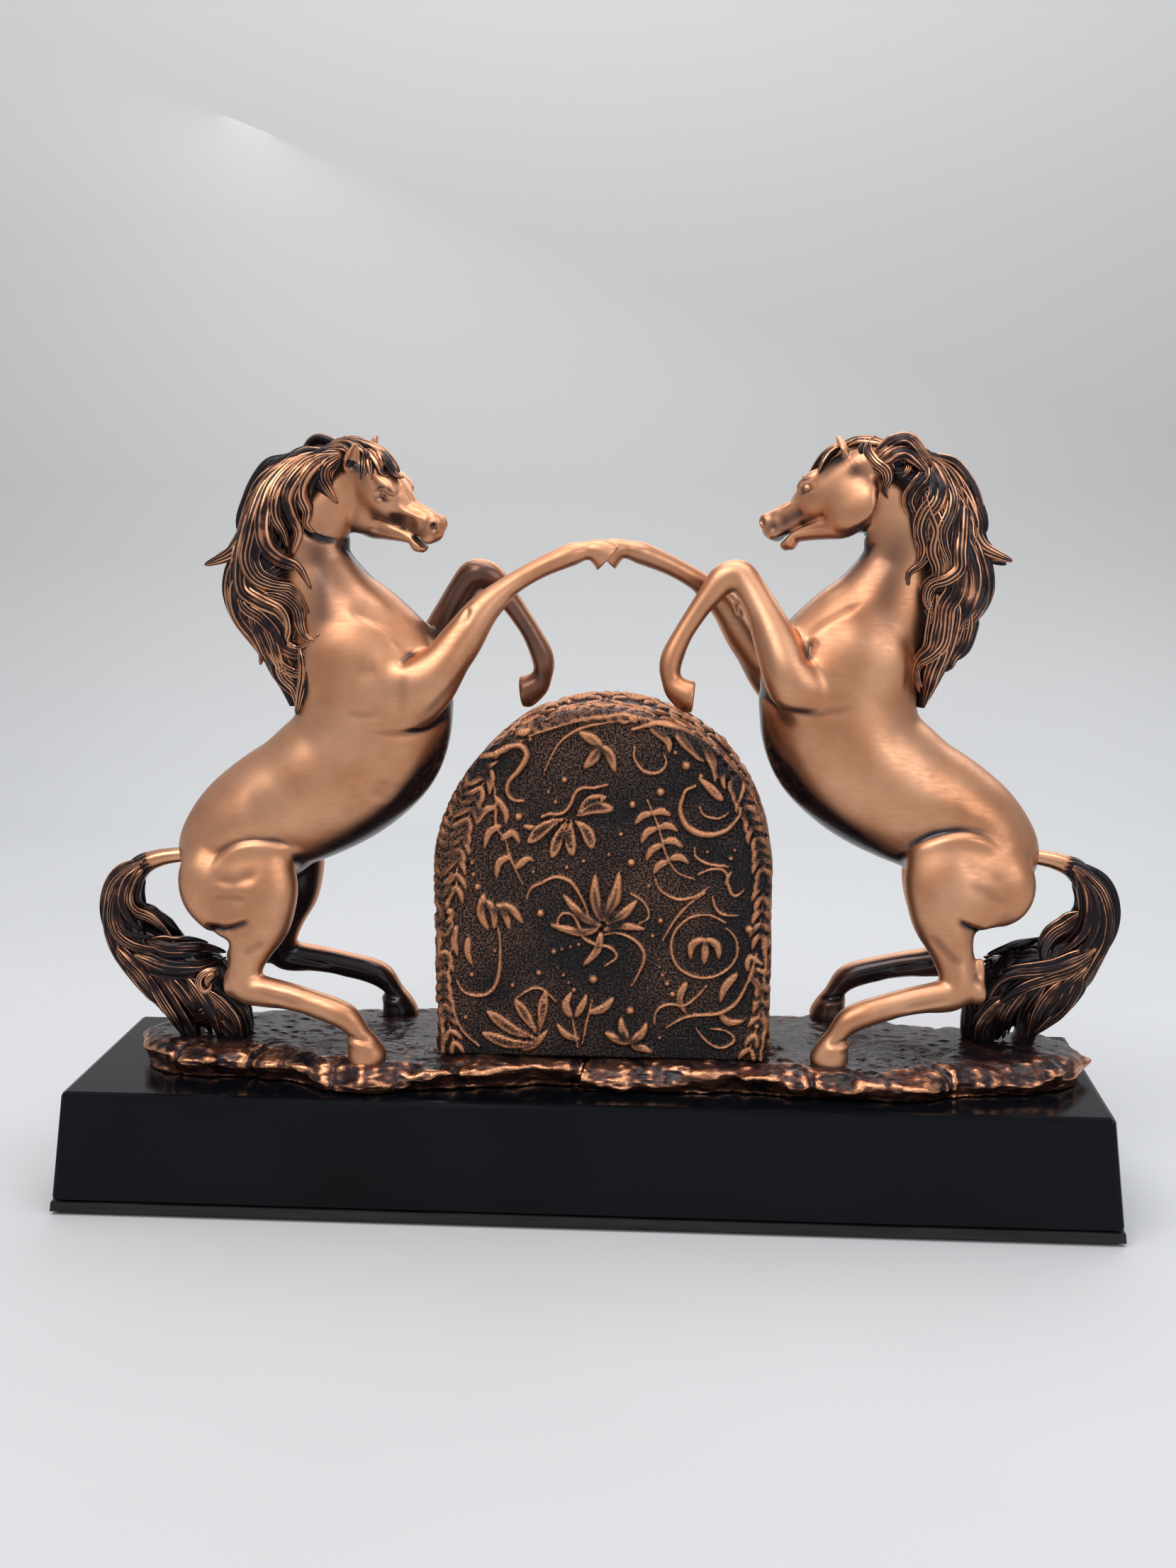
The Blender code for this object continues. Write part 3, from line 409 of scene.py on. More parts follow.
class Shader:
    """A node material with a few shorthands."""

    def __init__(self, name):
        self.material = bpy.data.materials.new(name)
        self.material.use_nodes = True
        self.tree = self.material.node_tree
        self.tree.nodes.clear()
        self.output = self.node("ShaderNodeOutputMaterial")
        self.surface = self.node("ShaderNodeBsdfPrincipled")
        self.link(self.surface.outputs[0], self.output.inputs[0])
        self.place = self.node("ShaderNodeTexCoord").outputs["Object"]

    def node(self, kind, **settings):
        made = self.tree.nodes.new(kind)
        for key, value in settings.items():
            setattr(made, key, value)
        return made

    def link(self, source, target):
        self.tree.links.new(source, target)

    def put(self, target, value):
        if isinstance(value, (int, float, tuple)):
            target.default_value = value
        else:
            self.link(value, target)

    def noise(self, scale, detail=4.0, stretch=None, distortion=0.0):
        made = self.node("ShaderNodeTexNoise")
        made.inputs["Scale"].default_value = scale
        made.inputs["Detail"].default_value = detail
        made.inputs["Distortion"].default_value = distortion
        self.link(self.stretched(stretch), made.inputs["Vector"])
        return made.outputs["Fac"]

    def stretched(self, stretch):
        if stretch is None:
            return self.place
        mapping = self.node("ShaderNodeMapping")
        mapping.inputs["Scale"].default_value = stretch
        self.link(self.place, mapping.inputs["Vector"])
        return mapping.outputs[0]

    def voronoi(self, scale, feature="F1", stretch=None):
        made = self.node("ShaderNodeTexVoronoi", feature=feature)
        made.inputs["Scale"].default_value = scale
        self.link(self.stretched(stretch), made.inputs["Vector"])
        return made.outputs["Distance"]

    def attribute(self, name):
        return self.node("ShaderNodeAttribute", attribute_name=name).outputs["Fac"]

    def math(self, operation, a, b=0.0, clamp=False):
        made = self.node("ShaderNodeMath", operation=operation, use_clamp=clamp)
        self.put(made.inputs[0], a)
        self.put(made.inputs[1], b)
        return made.outputs[0]

    def span(self, value, low, high, out_low=0.0, out_high=1.0):
        made = self.node("ShaderNodeMapRange", clamp=True)
        made.inputs["From Min"].default_value = low
        made.inputs["From Max"].default_value = high
        made.inputs["To Min"].default_value = out_low
        made.inputs["To Max"].default_value = out_high
        self.put(made.inputs["Value"], value)
        return made.outputs[0]

    def mix(self, share, a, b):
        made = self.node("ShaderNodeMix", data_type="RGBA")
        self.put(made.inputs[0], share)
        self.put(made.inputs[6], a)
        self.put(made.inputs[7], b)
        return made.outputs[2]

    def bump(self, height, strength, distance):
        made = self.node("ShaderNodeBump")
        made.inputs["Strength"].default_value = strength
        made.inputs["Distance"].default_value = distance
        self.link(height, made.inputs["Height"])
        self.link(made.outputs[0], self.surface.inputs["Normal"])

    def set(self, **values):
        names = {"colour": "Base Color", "metallic": "Metallic", "roughness": "Roughness", "coat": "Coat Weight",
                 "coat_roughness": "Coat Roughness", "sheen": "Sheen Weight", "specular": "Specular IOR Level",
                 "anisotropic": "Anisotropic"}
        for key, value in values.items():
            self.put(self.surface.inputs[names[key]], value)
        return self.material


COPPER = (0.55, 0.25, 0.13, 1)
PALE_COPPER = (0.71, 0.37, 0.215, 1)
BROWN = (0.085, 0.034, 0.026, 1)
NEAR_BLACK = (0.018, 0.011, 0.014, 1)


def bronze_material():
    """Brushed copper plating, dark brown where the attribute dark is high; dark carries patina and painted shade."""
    s = Shader("bronze_plate")
    dark = s.attribute("dark")
    cloud = s.noise(38, 3)
    brush = s.noise(900, 2, (0.12, 1, 1))
    dark = s.math("ADD", dark, s.span(cloud, 0.3, 0.7, -0.12, 0.12))
    base = s.mix(s.span(cloud, 0.35, 0.65), COPPER, PALE_COPPER)
    base = s.mix(s.span(brush, 0.35, 0.7, 0, 0.07), base, BROWN)
    base = s.mix(s.span(dark, 0.10, 0.80, 0, 0.85), base, BROWN)
    base = s.mix(s.span(dark, 0.7, 1.1), base, NEAR_BLACK)
    rough = s.math("ADD", s.span(brush, 0.3, 0.7, 0.36, 0.46), s.span(dark, 0, 1, 0, -0.12))
    s.bump(s.math("ADD", brush, s.math("MULTIPLY", cloud, 0.6)), 0.06, 0.0002)
    return s.set(colour=base, metallic=s.span(dark, 0.2, 1.0, 1.0, 0.5), roughness=rough, specular=0.25,
                 coat=s.span(dark, 0.4, 1.0, 0.0, 0.55), coat_roughness=0.12)


def hair_material(name="dark_patina"):
    """Copper on the ridges of the strands, near black between them."""
    s = Shader(name)
    ridge = s.attribute("ridge")
    wear = s.noise(120, 4)
    level = s.math("ADD", ridge, s.span(wear, 0.3, 0.7, -0.16, 0.16))
    base = s.mix(s.span(level, 0.34, 0.50), (0.009, 0.005, 0.007, 1), BROWN)
    base = s.mix(s.span(level, 0.47, 0.62), base, COPPER)
    base = s.mix(s.span(level, 0.62, 0.86), base, PALE_COPPER)
    s.bump(s.noise(1400, 3, (1, 1, 0.3)), 0.25, 0.0003)
    return s.set(colour=base, metallic=s.span(level, 0.3, 0.7, 0.3, 1.0), specular=0.3,
                 roughness=s.span(wear, 0.3, 0.7, 0.2, 0.34))


def rock_material():
    s = Shader("rock_patina")
    edge = s.attribute("edge")
    wear = s.noise(90, 5)
    level = s.math("ADD", edge, s.span(wear, 0.3, 0.7, -0.3, 0.3))
    base = s.mix(s.span(s.noise(60, 3), 0.4, 0.6), (0.010, 0.006, 0.008, 1), (0.030, 0.013, 0.012, 1))
    base = s.mix(s.span(level, 0.20, 0.55), base, (0.15, 0.060, 0.040, 1))
    base = s.mix(s.span(level, 0.50, 0.90), base, COPPER)
    s.bump(s.math("ADD", s.noise(420, 6), s.math("MULTIPLY", s.voronoi(200), 0.8)), 0.55, 0.0009)
    return s.set(colour=base, metallic=s.span(level, 0.2, 0.7, 0.25, 1.0), roughness=s.span(wear, 0.3, 0.7, 0.16, 0.32),
                 specular=0.2, coat=0.18, coat_roughness=0.07)


def block_material():
    """Charcoal ground with copper relief, finely stippled."""
    s = Shader("block_patina")
    relief = s.attribute("relief")
    wear = s.noise(150, 5)
    level = s.math("ADD", relief, s.span(wear, 0.3, 0.7, -0.12, 0.12))
    pits = s.noise(1150, 4)
    ground = s.mix(s.span(pits, 0.45, 0.64), (0.004, 0.004, 0.006, 1), (0.040, 0.031, 0.029, 1))
    warm = s.span(s.noise(24, 2), 0.4, 0.65, 0, 0.26)
    ground = s.mix(s.math("MULTIPLY", warm, s.span(pits, 0.45, 0.62)), ground, COPPER)
    base = s.mix(s.span(level, 0.22, 0.5), ground, (0.17, 0.075, 0.045, 1))
    base = s.mix(s.span(level, 0.45, 0.85), base, COPPER)
    s.bump(pits, 0.7, 0.0010)
    return s.set(colour=base, metallic=s.span(level, 0.1, 0.6, 0.45, 1.0), specular=0.2,
                 roughness=s.span(pits, 0.3, 0.7, 0.40, 0.28))


def lacquer_material():
    """Gloss black with a faint waviness."""
    s = Shader("black_lacquer")
    wave = s.noise(14, 2)
    speck = s.noise(700, 3)
    base = s.mix(s.span(wave, 0.3, 0.7), (0.0015, 0.002, 0.003, 1), (0.003, 0.004, 0.006, 1))
    s.bump(wave, 0.06, 0.0015)
    return s.set(colour=base, roughness=s.span(speck, 0.35, 0.7, 0.12, 0.2), specular=0.12)


def felt_material():
    s = Shader("felt")
    fuzz = s.noise(900, 5)
    base = s.mix(s.span(fuzz, 0.35, 0.65), (0.008, 0.009, 0.011, 1), (0.022, 0.024, 0.03, 1))
    s.bump(fuzz, 0.6, 0.0004)
    return s.set(colour=base, roughness=0.95, sheen=0.4)


def board_material():
    s = Shader("board")
    grain = s.noise(30, 5, (1, 14, 14), 0.4)
    base = s.mix(s.span(grain, 0.3, 0.7), (0.006, 0.0055, 0.006, 1), (0.018, 0.015, 0.014, 1))
    s.bump(grain, 0.2, 0.0004)
    return s.set(colour=base, roughness=s.span(grain, 0.3, 0.7, 0.4, 0.6), specular=0.3)


def steel_material():
    s = Shader("steel")
    brush = s.noise(800, 3, (1, 1, 0.08))
    base = s.mix(s.span(brush, 0.3, 0.7), (0.42, 0.42, 0.43, 1), (0.62, 0.62, 0.63, 1))
    s.bump(brush, 0.15, 0.0001)
    return s.set(colour=base, metallic=1.0, roughness=s.span(brush, 0.3, 0.7, 0.22, 0.34))


MATERIALS = {
    "bronze_plate": bronze_material(),
    "dark_patina": hair_material(),
    "rock_patina": rock_material(),
    "block_patina": block_material(),
    "black_lacquer": lacquer_material(),
    "felt": felt_material(),
    "board": board_material(),
    "steel": steel_material(),
}


# ---------------------------------------------------------------- the horse


def left_hind_leg():
    rows = []
    for i, (x, y, z, depth, width) in enumerate(HIND_LEG):
        out = LEFT_HIND_SPREAD * i / (len(HIND_LEG) - 1)
        lift = float(np.interp(z, (104, 122), (0, LEFT_THIGH_LIFT)))
        rows.append((x + LEFT_HIND_SHIFT, 2 * MID_Y - y + out, z + lift, depth, width))
    return tuple(rows)


def head_place(n, l, d):
    return HEAD_ORIGIN + n * NOSE + l * HEAD_LEFT + d * DORSAL


def head_axes(points):
    return (points - HEAD_ORIGIN) @ np.stack([NOSE, HEAD_LEFT, DORSAL], 1)


class HeadWindow:
    """The part of the field round the head, in the head's axes."""

    def __init__(self, field, low, high):
        self.field = field
        self.window = field.window(low, high)
        x, y, z = field.coords(self.window)
        x, y, z = (a - o for a, o in zip((x, y, z), HEAD_ORIGIN))
        self.n = x * NOSE[0] + y * NOSE[1] + z * NOSE[2]
        self.l = x * HEAD_LEFT[0] + y * HEAD_LEFT[1] + z * HEAD_LEFT[2]
        self.d = x * DORSAL[0] + y * DORSAL[1] + z * DORSAL[2]
        self.away = np.abs(self.l)

    def ball(self, centre, radii, mirror=True):
        """Distance from an ellipsoid in the head's axes, on both sides when mirror is set."""
        l = self.away if mirror else self.l
        u, v, w = self.n - centre[0], l - centre[1], self.d - centre[2]
        size = np.sqrt(u * u + v * v + w * w) + SMALL
        scale = np.sqrt((u / radii[0]) ** 2 + (v / radii[1]) ** 2 + (w / radii[2]) ** 2) + SMALL
        return size - size / scale

    def spine(self, stations):
        """Distance from a chain in the head's axes: rows are n, l, d, depth, width."""
        best = np.full(self.n.shape, 1e3)
        path = smooth_path(stations, 2.0)
        l = self.away if stations[0][1] else self.l
        for a, b in zip(path[:-1], path[1:]):
            best = np.minimum(best, segment_distance(self.n, l, self.d, a, b, np.array((0.0, 1.0, 0.0))))
        return best

    def add(self, distance, blend):
        w = self.window
        self.field.value[w] = soft_min(self.field.value[w], distance, blend)

    def cut(self, distance, blend):
        w = self.window
        self.field.value[w] = soft_max(self.field.value[w], -distance, blend)

    def line(self, points, depth, width, low=3.0):
        """A soft line drawn on both cheeks, in n and d."""
        mark = line_mark(self.n, self.d, np.array(points, float), width)
        self.field.value[self.window] += depth * mark * np.clip((self.away - low) / 2.0, 0, 1)

    def top_line(self, points, depth, width):
        """A soft line drawn on the forehead and nose, in n and the distance from the middle."""
        mark = line_mark(self.n, self.away, np.array(points, float), width)
        self.field.value[self.window] += depth * mark * np.clip((self.d + 2.0) / 2.0, 0, 1)


UPPER_HEAD = (
    (-4, 0, -5, 7.5, 7), (2, 0, -5.6, 10.4, 8.6), (9, 0, -5.4, 11.7, 9.2), (15, 0, -4.9, 11.6, 9.3),
    (20.5, 0, -4.4, 11, 9.1), (25.5, 0, -4, 9.9, 8.2), (30.2, 0, -3.8, 7.8, 6.7), (34.5, 0, -3.4, 6.0, 5.5),
    (39, 0, -2.7, 6.2, 4.9), (43.6, 0, -1.6, 6.5, 5.0), (47.4, 0, -1.3, 6.2, 4.9), (49.6, 0, -1.9, 4.4, 3.7),
)
LOWER_JAW = (
    (13, 0, -21, 6.5, 5.2), (21, 0, -20.2, 6.4, 4.9), (28, 0, -17.0, 5.2, 4.4), (34, 0, -14.4, 3.9, 4.0),
    (38.6, 0, -12.4, 3.1, 3.7), (42.4, 0, -11.2, 2.5, 3.5), (45.6, 0, -12.0, 2.9, 3.6), (47.4, 0, -11.4, 2.5, 3.1),
)
# Lines drawn on both cheeks: depth, width, patina and painted shade (below zero a painted highlight), then places along
# the nose and out of the forehead.
CHEEK_LINES = (
    (-0.75, 0.8, -0.1, (20.6, -2.6), (22.4, 1.2), (24.8, 3.1), (27.6, 2.7), (29.4, 1.2)),
    (0.35, 0.7, 1.0, (20.4, -2.2), (22.0, 1.9), (24.8, 3.9), (28.0, 3.4), (29.8, 1.8)),
    (-0.6, 0.7, -0.1, (21.0, -3.4), (24.2, -3.2), (27.6, -1.4), (29.8, 0.6)),
    (0.35, 0.7, 0.8, (20.6, -3.4), (24.0, -2.6), (27.4, -1.2), (29.4, 0.8)),
    (-1.0, 1.6, -0.1, (30.6, -0.8), (35.4, -0.6), (40.6, 1.0), (46.0, 3.0)),
    (1.3, 2.6, 0.55, (29.4, -7.6), (34.4, -6.4), (40.4, -4.0), (45.0, -2.6)),
    (0.8, 0.9, 0.70, (24.0, -19.6), (30.5, -16.2), (37.0, -12.4), (43.0, -9.4)),
    (-0.5, 1.1, -0.1, (26.4, -14.6), (32.0, -12.2), (38.0, -9.4)),
    (1.5, 1.1, 0.9, (22.6, -25.4), (20.0, -27.2), (15.4, -28.4), (10.7, -28.8), (6.5, -28.2), (3.2, -26.0), (1.6, -22.8),
     (0.8, -16.0)),
    (0.3, 3.2, 0.40, (0.0, -20.0), (2.5, -11.0), (7.5, -6.0)),
    (0.4, 2.4, 0.35, (44.0, -3.4), (48.0, -3.2), (51.0, -3.6)),
)


def add_head(field):
    """Skull, cheeks, eyes, nostrils, open mouth and ears."""
    head = HeadWindow(field, (-126, -46, 258), (-52, 20, 336))
    head.add(head.spine(UPPER_HEAD), 3.0)
    head.add(head.spine(LOWER_JAW), 1.4)
    head.add(head.ball((12.2, 4.6, -16.4), (12.0, 4.0, 11.4)), 3.6)
    # brow, eye socket, eyeball and its middle
    head.add(head.ball((22.6, 5.8, 3.2), (6.0, 2.4, 2.2)), 2.4)
    head.cut(head.ball((25.4, 9.6, -0.2), (4.0, 2.6, 2.5)), 0.9)
    head.add(head.ball((25.3, 6.5, -0.2), (2.8, 2.1, 2.0)), 0.25)
    head.cut(head.ball((25.9, 8.9, 0.0), (0.9, 0.6, 0.9)), 0.2)
    for depth, width, _, *points in CHEEK_LINES:
        head.line(points, depth, width)
    head.top_line(((28, 2.4), (36, 1.8), (44, 1.5)), -0.4, 1.2)
    # nostril with its rim, upper lip
    head.add(head.ball((48.6, 2.9, 2.2), (3.3, 2.2, 3.0)), 1.6)
    head.cut(head.ball((50.2, 5.2, 2.5), (1.7, 2.6, 2.6)), 0.35)
    head.add(head.ball((48.9, 2.0, -4.6), (3.0, 2.8, 2.6)), 1.5)
    # mouth
    slit = head.spine(((43, 0, -9.0, 0.3, 9), (45.4, 0, -8.8, 0.9, 9), (48.4, 0, -8.6, 1.5, 9), (56, 0, -8.8, 2.2, 9)))
    head.cut(slit, 0.4)
    # ears
    for base, tip, facing in EARS:
        axis = facing[0] * NOSE + facing[1] * HEAD_LEFT + facing[2] * DORSAL
        add_ear(field, head_place(*base), head_place(*tip), axis)


# Ears in the head's axes: root, tip and the way the opening faces.
EARS = (
    ((5.6, -7.6, -3.4), (2.9, -7.8, 10.0), (0.8, -0.6, 0.2)),
    ((4.2, 6.6, -1.0), (2.2, 6.0, 11.0), (0.8, 0.55, 0.2)),
)


def add_ear(field, base, tip, facing):
    """A pointed leaf, hollow in front."""
    axis = tip - base
    length = np.linalg.norm(axis)
    axis = axis / length
    front = facing - axis * (facing @ axis)
    front = front / np.linalg.norm(front)
    side = np.cross(axis, front)
    window = field.window(np.minimum(base, tip) - 8, np.maximum(base, tip) + 8)
    x, y, z = (c - o for c, o in zip(field.coords(window), base))
    along = (x * axis[0] + y * axis[1] + z * axis[2]) / length
    across = x * side[0] + y * side[1] + z * side[2]
    ahead = x * front[0] + y * front[1] + z * front[2]
    t = np.clip(along, 0, 1)
    wide = 0.5 + 3.3 * np.sin(np.pi * np.clip(0.18 + 0.82 * t, 0, 1)) ** 0.8 * (1 - 0.25 * t)
    deep = wide * 0.72
    end = (along - t) * length
    outer = np.sqrt(across**2 + ahead**2 + end**2) + SMALL
    scale = np.sqrt((across / wide) ** 2 + (ahead / deep) ** 2 + (end / 0.6) ** 2) + SMALL
    shell = outer - outer / scale
    hollow_wide, hollow_deep = np.maximum(wide - 0.75, 0.15), np.maximum(deep * 1.25, 0.2)
    shifted = ahead - deep * 0.95
    reach = np.sqrt(across**2 + shifted**2 + end**2) + SMALL
    inner_scale = np.sqrt((across / hollow_wide) ** 2 + (shifted / hollow_deep) ** 2 + (end / 0.3) ** 2) + SMALL
    hollow = reach - reach / inner_scale
    hollow = np.where(along < 0.16, 5.0, hollow)
    shape = soft_max(shell, -hollow, 0.25)
    field.value[window] = soft_min(field.value[window], shape, 0.8)


def halfspace(field, low, high, point, normal, blend=0.6):
    """Cuts the field flat inside a window."""
    window = field.window(low, high)
    x, y, z = field.coords(window)
    flat = (x - point[0]) * normal[0] + (y - point[1]) * normal[1] + (z - point[2]) * normal[2]
    field.value[window] = soft_max(field.value[window], flat, blend)


def dent(field, centre, radii, blend=0.4, sign=1):
    """Hollows (or with sign -1 adds) an ellipsoid."""
    pad = np.array(radii) + 3
    window = field.window(np.array(centre) - pad, np.array(centre) + pad)
    x, y, z = (c - o for c, o in zip(field.coords(window), centre))
    size = np.sqrt(x * x + y * y + z * z) + SMALL
    scale = np.sqrt((x / radii[0]) ** 2 + (y / radii[1]) ** 2 + (z / radii[2]) ** 2) + SMALL
    shape = size - size / scale
    if sign > 0:
        field.value[window] = soft_max(field.value[window], -shape, blend)
    else:
        field.value[window] = soft_min(field.value[window], shape, blend)


LEG_SPECS = (
    ("hind_leg_right", HIND_LEG, 4.0, ("hoof_stud_right",)),
    ("hind_leg_left", left_hind_leg(), 4.0, ("hoof_stud_left", "hip_rod")),
    ("foreleg_extended", EXTENDED_FORELEG, 3.0, ("shoulder_rod",)),
    ("foreleg_bent", BENT_FORELEG, 3.0, ()),
)


def horse_field():
    coarse = 1.0
    field = Field(
        axis_of(-193, 14, coarse, (-128, 0.85), (-112, 0.56)),
        axis_of(-51, 41, coarse, (0, 0.62)),
        axis_of(57, 333, coarse, (100, 0.56), (118, 0.85), (250, 0.85), (272, 0.5)),
    )
    field.chain(smooth_path(TORSO, 2.5), 1.0)
    for _, stations, blend, _ in LEG_SPECS:
        field.chain(smooth_path(stations, 2.2), blend)
    # points of the hocks, knees and the buttocks
    for y in (-31.5, 20.5):
        dent(field, (-158.6, y, 95.6), (4.2, 3.6, 6.4), 3.0, -1)
        dent(field, (-160.0, y * 0.9, 104), (1.8, 2.2, 8.0), 2.0, -1)
    dent(field, (-110, -24, 232), (14, 5, 14), 7.0, -1)
    dent(field, (-110, 10, 232), (14, 5, 14), 7.0, -1)
    dent(field, (-92, -25, 226), (9, 5, 12), 4.0, -1)
    dent(field, (-94, 11, 224), (9, 5, 12), 4.0, -1)
    for y in (-22.5, 9.5):
        dent(field, (-168.2, y, 138.5), (14.6, 11.5, 17), 4.0, -1)
    field.value = field.blurred(6)
    for side, depth, width, _, *points in STROKES:
        field.stroke(points, depth, width, side)
    for row in FOLDS:
        field.fold(row)
    add_head(field)
    # soles
    halfspace(field, (-9, -16, 262), (14, 4, 292), (1.5, -6, 275.7), (0.73, 0, -0.69))
    dent(field, (2.6, -6.1, 274.6), (3.6, 3.4, 3.6), 0.5)
    halfspace(field, (-46, -4, 204), (-24, 18, 230), (-37.6, 6.8, 218), (-1, 0, -0.1))
    dent(field, (-39.0, 6.8, 217), (2.4, 4, 4.6), 0.5)
    return field


def boundary_loops(quads):
    """Edges used once, as closed loops of vertices."""
    edges = np.concatenate([quads[:, [i, (i + 1) % 4]] for i in range(4)])
    key = np.sort(edges, 1)
    _, index, count = np.unique(key, axis=0, return_inverse=True, return_counts=True)
    open_edges = edges[count[index.reshape(-1)] == 1]
    following = {}
    for a, b in open_edges.tolist():
        following.setdefault(a, []).append(b)
    loops = []
    while following:
        start = next(iter(following))
        loop, at = [], start
        while at in following:
            loop.append(at)
            nxt = following[at].pop()
            if not following[at]:
                del following[at]
            at = nxt
        loops.append(loop)
    return [loop for loop in loops if len(loop) > 2]


def closed_part(points, quads, values, normals):
    """The chosen quads on their own, with each opening closed inside the casting."""
    used, index = np.unique(quads, return_inverse=True)
    part = index.reshape(quads.shape)
    points, normals = points[used], normals[used]
    values = {k: v[used] for k, v in values.items()}
    faces = part.tolist()
    extra_points, extra_normals = [], []
    extra_values = {k: [] for k in values}
    total = len(points)
    for loop in boundary_loops(part):
        ring = points[loop]
        centre = ring.mean(0)
        first = total + len(extra_points)
        extra_points += list(ring) + [centre]
        up = np.zeros(3)
        for p, q in zip(ring, np.roll(ring, -1, 0)):
            up += np.cross(q - centre, p - centre)
        up = up / max(np.linalg.norm(up), SMALL)
        extra_normals += [up] * (len(loop) + 1)
        for k in values:
            extra_values[k] += [1.0] * (len(loop) + 1)
        middle = first + len(loop)
        faces += [(first + (i + 1) % len(loop), first + i, middle) for i in range(len(loop))]
    if extra_points:
        points = np.concatenate([points, extra_points])
        normals = np.concatenate([normals, extra_normals])
        values = {k: np.concatenate([v, extra_values[k]]) for k, v in values.items()}
    return points, faces, values, normals


def horse_meshes():
    field = horse_field()
    cells, points, quads = field.surface()
    low, high = field.blurred(1), field.blurred(9)
    normals = field.normals(low, cells)
    first = points[quads[:, 1]] - points[quads[:, 0]]
    facing = np.cross(first, points[quads[:, 2]] - points[quads[:, 0]])
    if (facing * normals[quads[:, 0]]).sum() < 0:
        quads = quads[:, ::-1]
    hollow = -(field.sample(high, cells) - field.sample(low, cells))
    legs = [smooth_path(stations, 3.0) for _, stations, _, _ in LEG_SPECS]
    lateral = np.array((0.0, 1.0, 0.0))
    centres = points[quads].mean(1)
    body = np.minimum(
        chain_distance(centres, smooth_path(TORSO, 6.0), lateral),
        np.where((centres[:, 2] > 286) | ((centres[:, 0] < -63.5) & (centres[:, 1] < -7) & (centres[:, 2] > 264)), -5.0, 1e3),
    )
    label = np.zeros(len(quads), int)
    best = body
    for i, path in enumerate(legs):
        far = chain_distance(centres, path, lateral)
        label = np.where(far < best, i + 1, label)
        best = np.minimum(far, best)
    vertex_label = np.zeros(len(points), int)
    vertex_label[quads.reshape(-1)] = np.repeat(label, 4)
    dark = shade_of(points, normals, hollow, vertex_label)
    meshes = {}
    for i, name in enumerate(["body"] + [spec[0] for spec in LEG_SPECS]):
        p, f, v, n = closed_part(points, quads[label == i], {"dark": dark}, normals)
        meshes[name] = build_mesh(name, p, f, True, v, n)
    return meshes


def rise(value, low, high):
    """0 below low, 1 above high, smooth between."""
    t = np.clip((value - low) / (high - low), 0, 1)
    return t * t * (3 - 2 * t)


# Painted shade of the head, in its axes, in the nostrils, eyes and mouth, round the ears, on the temples, on the muzzle
# and under the mane at the poll: middle, size and amount.
HEAD_SPOTS = (
    ((50.2, 4.8, 2.5), 2.1, 1.2), ((25.9, 8.4, 0.2), 1.5, 1.0), ((14, 8.5, 0.5), 4.0, 0.5), ((9, 8, 2), 4.0, 0.6),
    ((46.9, 0, -8.8), 3.0, 0.9), ((2, 8.5, -7), 4.0, 0.5), ((5.4, 8.0, 1.0), 3.6, 0.8), ((4.6, 8.0, 6.0), 2.4, 0.9),
    ((-2, 4, 5), 6.0, 0.9), ((3.6, 4.8, 6.0), 3.0, 0.9), ((42, 4.5, -5.0), 4.5, 0.5), ((35, 4.5, -7.0), 4.0, 0.5),
    ((3.0, 2.0, 4.5), 5.0, 0.9), ((47, 4, -2.5), 2.6, 0.35),
)


def painted(points):
    """Patina and painted shade laid along the strokes and folds, a painted highlight on the lips of the folds, and
    painted shade on the head.
    """
    total = np.zeros(len(points))
    rows = [(side, width, amount, line) for side, _, width, amount, *line in STROKES]
    rows += [(side, 0.55 * wide, amount, line) for side, _, _, _, wide, amount, *line in FOLDS]
    for side, width, amount, line in rows:
        line = smooth_path([(x, z, 0) for x, z in line], 3.0)[:, :2]
        reach = 12 + 2 * width
        near = np.all((points[:, [0, 2]] > line.min(0) - reach) & (points[:, [0, 2]] < line.max(0) + reach), 1)
        spots = points[near]
        mark = line_mark(spots[:, 0], spots[:, 2], line, width)
        if side:
            mark = mark / (1 + np.exp(-side * (spots[:, 1] - MID_Y) / SIDE_SOFTNESS))
        total[near] += amount * mark
    # painted highlight: the lip side of each fold is made lighter
    for side, _, _, _, wide, amount, *line in FOLDS:
        line = smooth_path([(x, z, 0) for x, z in line], 3.0)[:, :2]
        near = np.all((points[:, [0, 2]] > line.min(0) - 12) & (points[:, [0, 2]] < line.max(0) + 12), 1)
        spots = points[near]
        mark = line_mark(spots[:, 0], spots[:, 2], line, 0.55 * wide)
        mark = mark / (1 + np.exp(-side * (spots[:, 1] - MID_Y) / SIDE_SOFTNESS))
        over = 1 / (1 + np.exp(-line_side(spots[:, 0], spots[:, 2], line) / FOLD_EDGE))
        total[near] -= (amount + 0.1) * mark * over
    # painted shade on the head: along the cheek lines and at the head spots
    skull = points[:, 2] > 268
    n, l, d = head_axes(points[skull]).T
    shade = np.zeros(len(n))
    for _, width, amount, *line in CHEEK_LINES:
        shade += amount * line_mark(n, d, np.array(line, float), width * 1.15) * np.clip((np.abs(l) - 3) / 2, 0, 1)
    for centre, size, amount in HEAD_SPOTS:
        spot = np.stack([n, np.abs(l), d], 1) - centre
        shade += amount * np.exp(-(np.linalg.norm(spot, axis=1) / size) ** 2)
    # painted shade in the open mouth
    mouth = np.exp(-(((d + 8.8) / 0.9) ** 2)) * rise(n, 42, 46) * rise(-n, -53, -50) * 0.8
    total[skull] += shade + mouth
    return total


